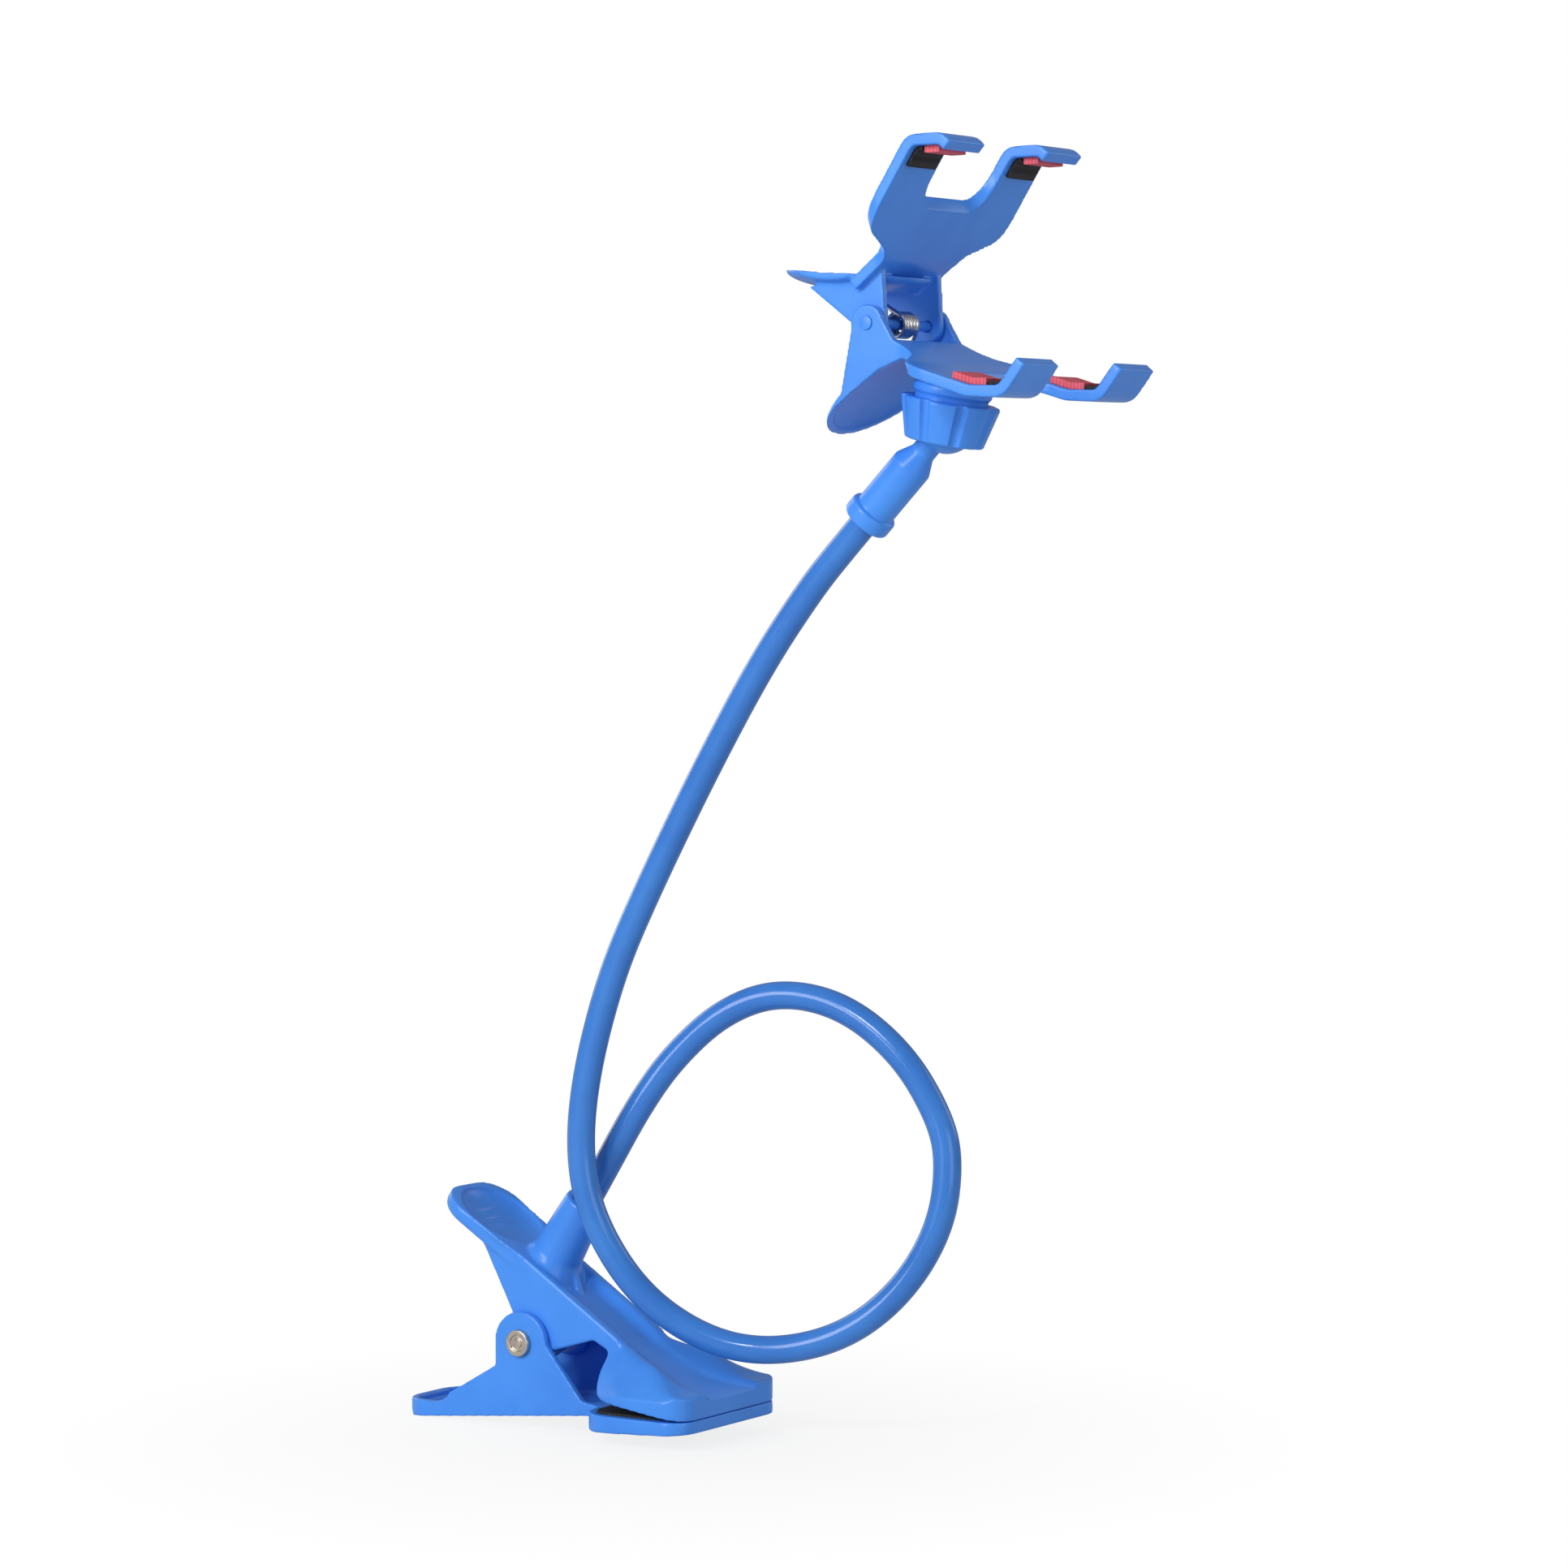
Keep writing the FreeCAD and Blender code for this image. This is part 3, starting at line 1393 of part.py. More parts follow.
def clip_lower_jaw():
    """Lower half of the clip: thumb bowl, cheeks, two hooked fingers and the split socket."""
    body = new_body("clip_lower_jaw")
    bowl = (s.lower_bowl_angle, s.lower_bowl_tip, s.lower_bowl_offset, -1)
    add_bowl(body, "lower_bowl", *bowl, "Additive", 0, s.bowl_depth)
    trim = new_sketch(body, "bowl_trim", "XZ_Plane")
    start = (s.lower_start_x, s.lower_start_z)
    runs = lower_runs()
    bend = knot_after(start, runs, 1)
    draw_outline(trim, [start, bend, (CLEAR_OF_ALL, bend[1]), (CLEAR_OF_ALL, CLEAR_OF_ALL),
                        (s.lower_start_x, CLEAR_OF_ALL)])
    pocket(body, trim, CLEAR_OF_ALL)
    side = new_sketch(body, "lower_jaw_side", "XZ_Plane")
    draw_outline(side, sheet_outline(start, runs, as_size(0), s.arm_thickness))
    pad(body, side, s.finger_pitch + s.finger_width)
    toe = knot_after(start, runs, 4)[0]
    trim_jaw_plan(body, "lower_jaw_plan_view", toe + s.arm_thickness)
    corners = [
        (-s.cheek_radius, 0),
        (s.lower_cheek_rear_x, s.lower_cheek_rear_z),
        (0, s.lower_cheek_middle_z),
        (s.lower_cheek_front_x, s.lower_cheek_front_z),
        (s.cheek_radius, 0),
    ]
    add_cheeks(body, "lower_cheek", s.cheek_half_width, corners, s.cheek_radius)
    add_socket(body)
    add_bowl(body, "lower_dish", *bowl, "Subtractive", s.handle_rim, s.dish_depth)
    drill_clip_hole(body, "lower")
    place_in_clip(body)
    return body


def add_socket(body):
    """Boss, disc and threaded split collet under the lower jaw, leaning towards the phone."""
    ball = in_clip(s.ball_x, s.ball_z)
    frame = ((ball[0], ball[1], 0), -AXIS_Z, s.nut_lean + s.clip_lean)
    profile = new_sketch(body, "socket_profile", "XZ_Plane", *frame)
    draw_outline(
        profile,
        [
            (0, s.socket_boss_top),
            (s.socket_boss_radius, s.socket_boss_top),
            (s.socket_boss_radius, s.socket_disc_top),
            (s.socket_disc_radius, s.socket_disc_top, 0.8),
            (s.socket_disc_radius, s.socket_disc_bottom, 0.8),
            (s.thread_radius, s.socket_disc_bottom),
            (s.thread_radius, -s.collet_shoulder),
            (s.collet_lip_radius, -s.collet_bottom),
            (0, -s.collet_bottom),
        ],
    )
    turn(body, profile)
    hollow = body.newObject("PartDesign::SubtractiveSphere", "socket_hollow")
    hollow.AttachmentSupport = [(origin_plane(body, "XZ_Plane"), "")]
    hollow.MapMode = "FlatFace"
    place_attachment(hollow, *frame)
    bind(hollow, Radius=s.ball_radius + s.ball_clearance)
    low, high = -2 * s.collet_bottom, s.collet_bottom
    across = new_sketch(body, "slot_across", "XZ_Plane", *frame)
    draw_box(across, -s.collet_slot / 2, low, s.collet_slot / 2, high)
    pocket(body, across, 2 * s.collet_slot_run)
    along = new_sketch(body, "slot_along", "XZ_Plane", *frame)
    draw_box(along, -s.collet_slot_run, low, s.collet_slot_run, high)
    pocket(body, along, s.collet_slot)


def clip_upper_jaw():
    """Upper half of the clip: thumb bowl, cheeks and two fingers with short lips."""
    body = new_body("clip_upper_jaw")
    bowl = (s.upper_bowl_angle, s.upper_bowl_tip, s.upper_bowl_offset, 1)
    add_bowl(body, "upper_bowl", *bowl, "Additive", 0, s.bowl_depth)
    start = (s.upper_start_x, s.upper_start_z)
    runs = upper_runs()
    side = new_sketch(body, "upper_jaw_side", "XZ_Plane")
    draw_outline(side, sheet_outline(start, runs, as_size(0), -s.arm_thickness))
    pad(body, side, s.finger_pitch + s.finger_width)
    toe = knot_after(start, runs, 4)[0]
    trim_jaw_plan(body, "upper_jaw_plan_view", toe + s.arm_thickness)
    corners = [
        (-s.inner_cheek_radius, 0),
        (s.upper_cheek_rear_x, s.upper_cheek_rear_z),
        (s.upper_cheek_front_x, s.upper_cheek_front_z),
        (s.inner_cheek_radius, 0),
    ]
    inner = s.cheek_half_width - s.cheek_thickness - s.cheek_clearance
    add_cheeks(body, "upper_cheek", inner, corners, s.inner_cheek_radius)
    add_bowl(body, "upper_dish", *bowl, "Subtractive", s.handle_rim, s.dish_depth)
    drill_clip_hole(body, "upper")
    place_in_clip(body)
    return body


def drill_clip_hole(body, name):
    """Bearing hole for the clip pin."""
    hole = new_sketch(body, f"{name}_clip_hole", "XZ_Plane")
    draw_circle(hole, 0, 0, s.clip_pin_diameter / 2 + s.pin_clearance)
    pocket(body, hole, CLEAR_OF_ALL)


def clip_pin():
    """Small steel pin with a domed head on the near side."""
    body = new_body("clip_pin")
    head = -s.cheek_half_width - s.pin_clearance
    shank, radius = s.clip_pin_diameter / 2, s.clip_pin_head_diameter / 2
    end = s.cheek_half_width + 2 * s.clip_washer_thickness
    profile = new_sketch(body, "clip_pin_profile", "XZ_Plane")
    draw_outline(
        profile,
        [
            (0, head - s.clip_pin_head_height),
            (radius, head - s.clip_pin_head_height, s.clip_pin_head_height / 2),
            (radius, head),
            (shank, head),
            (shank, end),
            (0, end),
        ],
    )
    turn(body, profile)
    place_body(body, s.clip_x, 0, s.clip_z, -AXIS_X, 90)
    return body


def clip_pin_washer():
    """Push-on washer that keeps the clip pin in, on the far side."""
    body = new_body("clip_pin_washer")
    plan = new_sketch(body, "washer_plan", "XY_Plane", (0, 0, s.cheek_half_width + s.pin_clearance))
    draw_circle(plan, 0, 0, s.clip_washer_diameter / 2)
    draw_circle(plan, 0, 0, s.clip_pin_diameter / 2 + s.pin_clearance)
    pad(body, plan, s.clip_washer_thickness, symmetric=False)
    place_body(body, s.clip_x, 0, s.clip_z, -AXIS_X, 90)
    return body


def clip_spring():
    """Spring that closes the clip."""
    upper = s.clip_lean + s.clip_spring_upper_angle
    lower = s.clip_lean + s.clip_spring_lower_angle
    return torsion_spring(
        "clip_spring", (s.clip_x, s.clip_z), s.clip_spring_wire, s.clip_spring_radius,
        s.clip_spring_turns,
        (
            (upper, s.clip_lean + s.upper_bowl_angle - 90, s.upper_bowl_offset - s.bowl_depth),
            (lower, s.clip_lean + s.lower_bowl_angle + 90, s.lower_bowl_offset - s.bowl_depth),
        ),
    )


def finger_strip(name, side, start, runs, near, far):
    """A soft strip on one finger, between two distances from the jaw's outer side."""
    body = new_body(name)
    level = -s.finger_pitch / 2 * side
    outline = new_sketch(body, f"{name}_side", "XZ_Plane", (0, 0, level))
    draw_outline(outline, sheet_outline(start, runs, near, far))
    pad(body, outline, s.finger_width - 2 * s.pad_side_margin)
    place_in_clip(body)
    return body


def finger_pads():
    """The red grip pads and the black hook liners, one of each on every finger."""
    upper_start, lower_start = (s.upper_start_x, s.upper_start_z), (s.lower_start_x, s.lower_start_z)
    up, low = upper_runs(), lower_runs()
    upper_knee = knot_after(upper_start, up, 2)
    lower_knee, lower_toe = knot_after(lower_start, low, 2), knot_after(lower_start, low, 3)
    inner, padded = s.arm_thickness, s.arm_thickness + s.grip_pad_thickness
    lined = s.arm_thickness + s.liner_thickness
    made = []
    for side, label in ((-1, "near"), (1, "far")):
        made.append(finger_strip(
            f"grip_pad_upper_{label}", side, run_point(upper_knee, s.upper_palm_angle, s.upper_grip_start),
            [(s.upper_palm_angle, s.upper_grip_length, None)], -inner, -padded,
        ))
        made.append(finger_strip(
            f"grip_pad_lower_{label}", side,
            run_point(lower_knee, s.lower_arm_angle, -s.lower_grip_on_arm),
            [
                (s.lower_arm_angle, s.lower_grip_on_arm, s.arm_bend_radius),
                (s.lower_palm_angle, s.lower_grip_on_palm, None),
            ],
            inner, padded,
        ))
        made.append(finger_strip(
            f"hook_liner_upper_{label}", side,
            run_point(upper_knee, s.upper_arm_angle, -s.upper_liner_on_arm),
            [
                (s.upper_arm_angle, s.upper_liner_on_arm, s.upper_knee_radius),
                (s.upper_palm_angle, s.upper_liner_on_palm, None),
            ],
            -inner, -lined,
        ))
        made.append(finger_strip(
            f"hook_liner_lower_{label}", side,
            run_point(lower_toe, s.lower_palm_angle, -s.liner_on_palm),
            [
                (s.lower_palm_angle, s.liner_on_palm, s.lip_bend_radius),
                (s.lower_lip_angle, s.lower_liner_on_lip, None),
            ],
            inner, lined,
        ))
    return made


def run_point(knot, angle, distance):
    """The point that far past a knot along a run."""
    return knot[0] + distance * cosine(angle), knot[1] + distance * sine(angle)


def build_holder():
    """Every piece of the holder, in the order of its parts from the desk up."""
    pieces = [
        clamp_upper_jaw(),
        clamp_lower_jaw(),
        clamp_pin(),
        clamp_pin_nut(),
        clamp_spring(),
        upper_jaw_pad(),
        lower_jaw_pad(),
        boss_screw(),
        *gooseneck(),
        ball_stem(),
        lock_nut(),
        clip_lower_jaw(),
        clip_upper_jaw(),
        clip_pin(),
        clip_pin_washer(),
        clip_spring(),
        *finger_pads(),
    ]
    doc.recompute()
    return pieces


def write_pieces(pieces):
    """Check that everything was made, then write each piece to its own file."""
    for item in doc.Objects:
        if {"Invalid", "Error"} & set(item.State):
            raise RuntimeError(f"{item.Name} could not be made: {item.State}")
    for piece in pieces:
        if piece.Shape.isNull() or not piece.Shape.isValid():
            raise RuntimeError(f"{piece.Label} has no valid shape")
    os.makedirs("parts", exist_ok=True)
    for piece in pieces:
        piece.Shape.exportStep(f"parts/{piece.Label}.step")
        print(piece.Label, len(piece.Shape.Solids), "solid", round(piece.Shape.Volume), "mm3")


write_pieces(build_holder())
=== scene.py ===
"""Looks of a gooseneck phone holder: desk clamp, looped arm, ball joint and phone clip.

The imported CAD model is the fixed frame. Each moulding, pad and spring is dressed with a copy of
its own solid whose edges are melted round, as a mould leaves them. The clamp's two levers are
first reshaped at the thumb plate, the boss, the toe and the lower handle's end. The arm's sheath
and the two pins are modelled here. Lengths are metres, and MM turns millimetres into metres.
"""

import json
import logging
import math
from dataclasses import dataclass, field
from enum import Enum
from typing import Any, Callable, Iterable, Sequence

import bpy
from mathutils import Matrix, Vector

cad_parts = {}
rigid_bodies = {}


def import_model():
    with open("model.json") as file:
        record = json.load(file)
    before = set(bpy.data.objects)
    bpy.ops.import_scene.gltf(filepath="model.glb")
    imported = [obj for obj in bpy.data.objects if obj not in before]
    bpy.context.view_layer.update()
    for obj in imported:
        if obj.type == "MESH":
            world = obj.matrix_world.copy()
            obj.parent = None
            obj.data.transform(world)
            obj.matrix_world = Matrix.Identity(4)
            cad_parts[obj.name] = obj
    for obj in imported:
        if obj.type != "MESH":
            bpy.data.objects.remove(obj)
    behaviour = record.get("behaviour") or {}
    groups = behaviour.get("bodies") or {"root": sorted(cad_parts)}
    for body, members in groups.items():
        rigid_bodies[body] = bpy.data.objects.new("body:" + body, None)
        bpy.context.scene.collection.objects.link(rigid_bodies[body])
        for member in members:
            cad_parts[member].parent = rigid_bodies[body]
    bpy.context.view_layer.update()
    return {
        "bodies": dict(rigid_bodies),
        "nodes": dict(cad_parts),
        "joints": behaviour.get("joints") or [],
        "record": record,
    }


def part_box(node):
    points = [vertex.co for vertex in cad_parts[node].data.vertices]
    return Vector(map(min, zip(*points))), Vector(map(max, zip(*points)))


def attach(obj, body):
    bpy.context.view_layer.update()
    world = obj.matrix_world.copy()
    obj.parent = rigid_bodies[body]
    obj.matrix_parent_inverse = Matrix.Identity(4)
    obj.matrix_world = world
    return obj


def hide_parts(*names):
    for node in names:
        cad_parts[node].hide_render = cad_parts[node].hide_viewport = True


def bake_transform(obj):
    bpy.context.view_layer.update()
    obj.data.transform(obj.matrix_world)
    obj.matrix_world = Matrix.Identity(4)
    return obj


LOG = logging.getLogger("gooseneck_holder")

MM = 0.001
WELD = 0.002 * MM
"""Points of a CAD mesh that lie closer than this are one."""
CLOSE = 0.1 * MM
"""How far off a plane a modelled point still counts as on it."""
FACETS = 96
"""Sides of a round form that is fused or cut."""
CORNER_SEGMENTS = 16
"""Facets across a rounded corner of such a form."""
OVERSHOOT = 2.0
"""How many times as wide as its form is what cuts right across it."""
RELAX = 0.5
"""How far one pass of relaxing carries a point towards its neighbours."""

Colour = tuple[float, float, float]
Point = tuple[float, float, float]
Pair = tuple[float, float]
Speckle = tuple[float, float, float]
"""A noise: waves to the metre, detail and roughness."""

WHITE = (1.0, 1.0, 1.0, 1.0)
PAPER = (0.75, 0.75, 0.75, 1.0)


class Body(Enum):
    """The moving bodies of the frame, by their names in the record."""

    CLAMP_AND_ARM = "clamp_and_arm"
    LOWER_LEVER = "lower_lever"
    STEM = "stem"
    NUT = "nut"
    CLIP = "clip"
    CLIP_UPPER = "clip_upper"


class Slot(Enum):
    """The record's material slots."""

    BLUE_PLASTIC = "blue_plastic"
    RED_RUBBER = "red_rubber"
    BLACK_RUBBER = "black_rubber"
    PLATED_STEEL = "plated_steel"
    SPRING_STEEL = "spring_steel"
    WOUND_STEEL = "wound_steel"


Winding = tuple[Body, Body, float]
"""The bodies at a spring's -Y and +Y ends, and how far from its middle its coil ends."""


class Wire:
    """A shader socket on which arithmetic adds Math nodes.

    Args:
        graph: the node graph that the arithmetic is added to.
        socket: a node's output, or None for a node without one.
    """

    def __init__(self, graph: "Graph", socket: bpy.types.NodeSocket | None) -> None:
        self.graph = graph
        self.socket = socket

    def _maths(self, operation: str, *values: Any) -> "Wire":
        """Add one Math node with that operation on the given values."""
        return self.graph.node("ShaderNodeMath", {"operation": operation}, dict(enumerate(values)))

    def __add__(self, other: Any) -> "Wire":
        """Sum of this and the other."""
        return self._maths("ADD", self, other)

    def __sub__(self, other: Any) -> "Wire":
        """This less the other."""
        return self._maths("SUBTRACT", self, other)

    def __mul__(self, other: Any) -> "Wire":
        """Product of this and the other."""
        return self._maths("MULTIPLY", self, other)

    def sine(self) -> "Wire":
        """Sine of this, in radians."""
        return self._maths("SINE", self)

    def about(self, middle: float, spread: float) -> "Wire":
        """This, from 0 to 1, carried to a range of that spread about a middle."""
        return (self - 0.5) * spread + middle

    def clamped(self) -> "Wire":
        """This, held between 0 and 1."""
        return self._maths("MINIMUM", self._maths("MAXIMUM", self, 0.0), 1.0)


class Graph:
    """A node graph of a material or of the surroundings.

    Args:
        owner: the material or world whose nodes are built afresh.
    """

    def __init__(self, owner: bpy.types.Material | bpy.types.World) -> None:
        owner.use_nodes = True
        self.tree = owner.node_tree
        self.tree.nodes.clear()

    def node(
        self, kind: str, settings: dict[str, Any], inputs: dict[Any, Any], out: Any = 0
    ) -> Wire:
        """Add a node, set it up, then fill or link its inputs.

        Args:
            kind: the node's type.
            settings: its own properties, set before its inputs.
            inputs: values or wires by input name or number.
            out: name or number of the output to return.

        Returns:
            The wire from the chosen output.
        """
        made = self.tree.nodes.new(kind)
        for name, setting in settings.items():
            setattr(made, name, setting)
        for name, value in inputs.items():
            if isinstance(value, Wire):
                self.tree.links.new(value.socket, made.inputs[name])
            else:
                made.inputs[name].default_value = value
        return Wire(self, made.outputs[out] if made.outputs else None)

    def ramp(self, factor: Wire, places: Pair, colours: tuple[Colour, Colour]) -> Wire:
        """A ramp from one colour to another, driven by factor.

        Args:
            factor: what drives the ramp.
            places: where the first colour ends and where the second one begins, from 0 to 1.
            colours: the two colours.

        Returns:
            The ramp's colour.
        """
        made = self.tree.nodes.new("ShaderNodeValToRGB")
        for element, place, colour in zip(made.color_ramp.elements, places, colours):
            element.position = place
            element.color = (*colour, 1.0)
        self.tree.links.new(factor.socket, made.inputs["Fac"])
        return Wire(self, made.outputs["Color"])

    def place(self) -> Wire:
        """The point on the piece in the holder's own frame."""
        return self.node("ShaderNodeTexCoord", {}, {}, "Object")

    def ridges(self, pitch: float) -> Wire:
        """Rounded ridges square to X, from 0 to 1, with one to every pitch."""
        along = self.node("ShaderNodeSeparateXYZ", {}, {0: self.place()}, "X")
        return (along * (2.0 * math.pi / pitch)).sine() * 0.5 + 0.5

    def noise(self, speckle: Speckle) -> Wire:
        """Noise over the piece, from 0 to 1."""
        scale, detail, roughness = speckle
        inputs = {"Vector": self.place(), "Scale": scale, "Detail": detail, "Roughness": roughness}
        return self.node("ShaderNodeTexNoise", {}, inputs, "Fac")

    def finish(
        self, colour: Wire, roughness: Wire, height: Wire, bump: float, fixed: dict[str, float]
    ) -> None:
        """Add the bump, the shader and the output.

        Args:
            colour: what the surface is coloured with.
            roughness: how rough it is.
            height: how far it stands out, in metres.
            bump: strength of that relief.
            fixed: values that are the same all over, by socket name.
        """
        relief = {"Strength": bump, "Distance": 1.0, "Height": height}
        normal = self.node("ShaderNodeBump", {}, relief, "Normal")
        varied = {"Base Color": colour, "Roughness": roughness, "Normal": normal}
        shader = self.node("ShaderNodeBsdfPrincipled", {}, {**fixed, **varied})
        self.node("ShaderNodeOutputMaterial", {}, {"Surface": shader})


@dataclass(frozen=True)
class MouldedPlastic:
    """Glossy injection-moulded plastic with faint flow marks and a fine skin.

    Args:
        name: the material's name.
        colour: its colour.
        deep: its colour in the flow marks.
        deep_to_colour: where the marks' noise leaves the one and reaches the other.
        roughness: middle of its roughness.
        roughness_spread: how much that varies.
        skin_depth: relief of its skin.
        sink_share: how many times deeper its sink marks are.
        flow: noise of the flow marks.
        scuff: noise of the roughness.
        skin: noise of the skin.
        sink: noise of the sink marks.
        bump: strength of the relief.
        index: index of refraction.
        specular: level of the mirror-like light.
    """

    name: str = "blue_plastic_moulded"
    colour: Colour = (0.062, 0.275, 0.84)
    deep: Colour = (0.050, 0.240, 0.78)
    deep_to_colour: Pair = (0.32, 0.62)
    roughness: float = 0.30
    roughness_spread: float = 0.08
    skin_depth: float = 0.03 * MM
    sink_share: float = 3.0
    flow: Speckle = (38.0, 4.0, 0.55)
    scuff: Speckle = (420.0, 5.0, 0.6)
    skin: Speckle = (2600.0, 2.0, 0.5)
    sink: Speckle = (90.0, 2.0, 0.4)
    bump: float = 0.35
    index: float = 1.46
    specular: float = 0.4

    def material(self) -> bpy.types.Material:
        """Build the material."""
        made = bpy.data.materials.new(self.name)
        graph = Graph(made)
        flow = graph.noise(self.flow)
        colour = graph.ramp(flow, self.deep_to_colour, (self.deep, self.colour))
        roughness = graph.noise(self.scuff).about(self.roughness, self.roughness_spread)
        sink_depth = self.skin_depth * self.sink_share
        height = graph.noise(self.skin) * self.skin_depth + graph.noise(self.sink) * sink_depth
        fixed = {"IOR": self.index, "Specular IOR Level": self.specular}
        graph.finish(colour, roughness, height, self.bump, fixed)
        return made


@dataclass(frozen=True)
class SoftRubber:
    """Matte moulded rubber with a fine grain and shallow grip ridges across it.

    Args:
        name: the material's name.
        colour: its colour.
        pale: its colour where dust lies and on the ridges.
        ridge_pitch: from one ridge to the next.
        ridge_height: how far the ridges stand out.
        ridge_tint: share of the ridges in the tint, of which dust has the rest.
        colour_to_pale: where the tint leaves the one colour and reaches the other.
        roughness: middle of its roughness.
        roughness_spread: how much that varies.
        grain_depth: relief of the grain.
        dust: noise of the dust and the roughness.
        grain: noise of the grain.
        bump: strength of the relief.
        index: index of refraction.
        specular: level of the mirror-like light.
    """

    name: str
    colour: Colour
    pale: Colour
    ridge_pitch: float
    ridge_height: float = 0.16 * MM
    ridge_tint: float = 0.3
    colour_to_pale: Pair = (0.35, 0.75)
    roughness: float = 0.72
    roughness_spread: float = 0.2
    grain_depth: float = 0.06 * MM
    dust: Speckle = (300.0, 6.0, 0.65)
    grain: Speckle = (3200.0, 2.0, 0.5)
    bump: float = 0.6
    index: float = 1.5
    specular: float = 0.35

    def material(self) -> bpy.types.Material:
        """Build the material."""
        made = bpy.data.materials.new(self.name)
        graph = Graph(made)
        dust = graph.noise(self.dust)
        ridges = graph.ridges(self.ridge_pitch)
        tint = dust * (1.0 - self.ridge_tint) + ridges * self.ridge_tint
        colour = graph.ramp(tint, self.colour_to_pale, (self.colour, self.pale))
        roughness = dust.about(self.roughness, self.roughness_spread)
        height = graph.noise(self.grain) * self.grain_depth + ridges * self.ridge_height
        fixed = {"IOR": self.index, "Specular IOR Level": self.specular}
        graph.finish(colour, roughness, height, self.bump, fixed)
        return made


@dataclass(frozen=True)
class Steel:
    """Plated or bright steel with fine marks.

    Args:
        name: the material's name.
        colour: its colour.
        shade: its colour in the marks.
        shade_to_colour: where the marks' noise leaves the one and reaches the other.
        roughness: middle of its roughness.
        roughness_spread: how much that varies.
        mark_depth: relief of the marks.
        marks: noise of the marks.
        bump: strength of the relief.
    """

    name: str
    colour: Colour
    shade: Colour
    shade_to_colour: Pair = (0.3, 0.7)
    roughness: float = 0.3
    roughness_spread: float = 0.25
    mark_depth: float = 0.04 * MM
    marks: Speckle = (900.0, 6.0, 0.7)
    bump: float = 0.3

    def material(self) -> bpy.types.Material:
        """Build the material."""
        made = bpy.data.materials.new(self.name)
        graph = Graph(made)
        marks = graph.noise(self.marks)
        colour = graph.ramp(marks, self.shade_to_colour, (self.shade, self.colour))
        roughness = marks.about(self.roughness, self.roughness_spread)
        graph.finish(colour, roughness, marks * self.mark_depth, self.bump, {"Metallic": 1.0})
        return made


class Finishes:
    """Every finish of the holder, made once and shared."""

    def __init__(self) -> None:
        self.sleeve = MouldedPlastic(
            "blue_plastic_sleeve", colour=(0.046, 0.205, 0.62), deep=(0.036, 0.17, 0.56),
            roughness=0.17, skin_depth=0.01 * MM,
        ).material()
        recipes = {
            Slot.BLUE_PLASTIC: MouldedPlastic(),
            Slot.RED_RUBBER: SoftRubber(
                "red_rubber_grained", colour=(0.66, 0.075, 0.11), pale=(0.80, 0.16, 0.20),
                ridge_pitch=1.2 * MM,
            ),
            Slot.BLACK_RUBBER: SoftRubber(
                "black_rubber_grained", colour=(0.010, 0.010, 0.012), pale=(0.030, 0.030, 0.034),
                ridge_pitch=1.8 * MM,
            ),
            Slot.PLATED_STEEL: Steel(
                "plated_steel_marked", colour=(0.74, 0.66, 0.56), shade=(0.52, 0.46, 0.40)
            ),
            Slot.SPRING_STEEL: Steel(
                "spring_steel_wire", colour=(0.62, 0.62, 0.64), shade=(0.42, 0.42, 0.44),
                roughness=0.24,
            ),
            Slot.WOUND_STEEL: Steel(
                "wound_steel_strip", colour=(0.50, 0.50, 0.51), shade=(0.32, 0.32, 0.33),
                roughness=0.4,
            ),
        }
        self.by_slot = {slot: recipe.material() for slot, recipe in recipes.items()}

    def dress(self, piece: bpy.types.Object, slot: Slot) -> None:
        """Give a piece one finish all over.

        Args:
            piece: the piece to dress.
            slot: the record's slot that the finish belongs to.
        """
        slots = piece.data.materials
        slots.clear()
        slots.append(self.by_slot[slot])


def only(piece: bpy.types.Object) -> None:
    """Select one piece and make it active.

    Args:
        piece: the piece that the next operators act on.
    """
    if bpy.context.object and bpy.context.object.mode != "OBJECT":
        bpy.ops.object.mode_set(mode="OBJECT")
    bpy.ops.object.select_all(action="DESELECT")
    bpy.context.view_layer.objects.active = piece
    piece.hide_set(False)
    piece.select_set(True)


def settle(piece: bpy.types.Object) -> None:
    """Move a piece's place into its mesh, so that its object sits at the origin."""
    only(piece)
    bpy.ops.object.transform_apply(location=True, rotation=True, scale=True)


def apply_modifiers(piece: bpy.types.Object) -> None:
    """Apply every modifier of a piece, in order."""
    only(piece)
    for modifier in list(piece.modifiers):
        bpy.ops.object.modifier_apply(modifier=modifier.name)


def keep(
    piece: bpy.types.Object,
    body: Body,
    slot: Slot,
    finishes: Finishes,
    wound: Winding | None = None,
) -> None:
    """Dress a finished piece and let it follow its body, or fix a spring where it stands.

    Args:
        piece: the finished piece.
        body: the body that carries it.
        slot: the record's slot of its finish.
        finishes: the shared finishes.
        wound: marks a spring, which is then fixed where it stands; the bodies and the length that
            it holds are not used.
    """
    finishes.dress(piece, slot)
    if wound is None:
        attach(piece, body.value)
    else:
        first, last, half = wound
        -half
        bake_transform(piece)
    triangles = sum(len(face.vertices) - 2 for face in piece.data.polygons)
    LOG.info("%s follows %s, %d triangles", piece.name, body.value, triangles)


def add_modifier(piece: bpy.types.Object, kind: str, **settings: Any) -> None:
    """Put a modifier on a piece.

    Args:
        piece: the piece to change.
        kind: the modifier's type.
        settings: its properties.
    """
    modifier = piece.modifiers.new(kind.lower(), kind)
    for name, setting in settings.items():
        setattr(modifier, name, setting)


def add_cut(piece: bpy.types.Object, form: bpy.types.Object) -> None:
    """Put a modifier on a piece that cuts a form out of it."""
    add_modifier(piece, "BOOLEAN", operation="DIFFERENCE", object=form, solver="MANIFOLD")


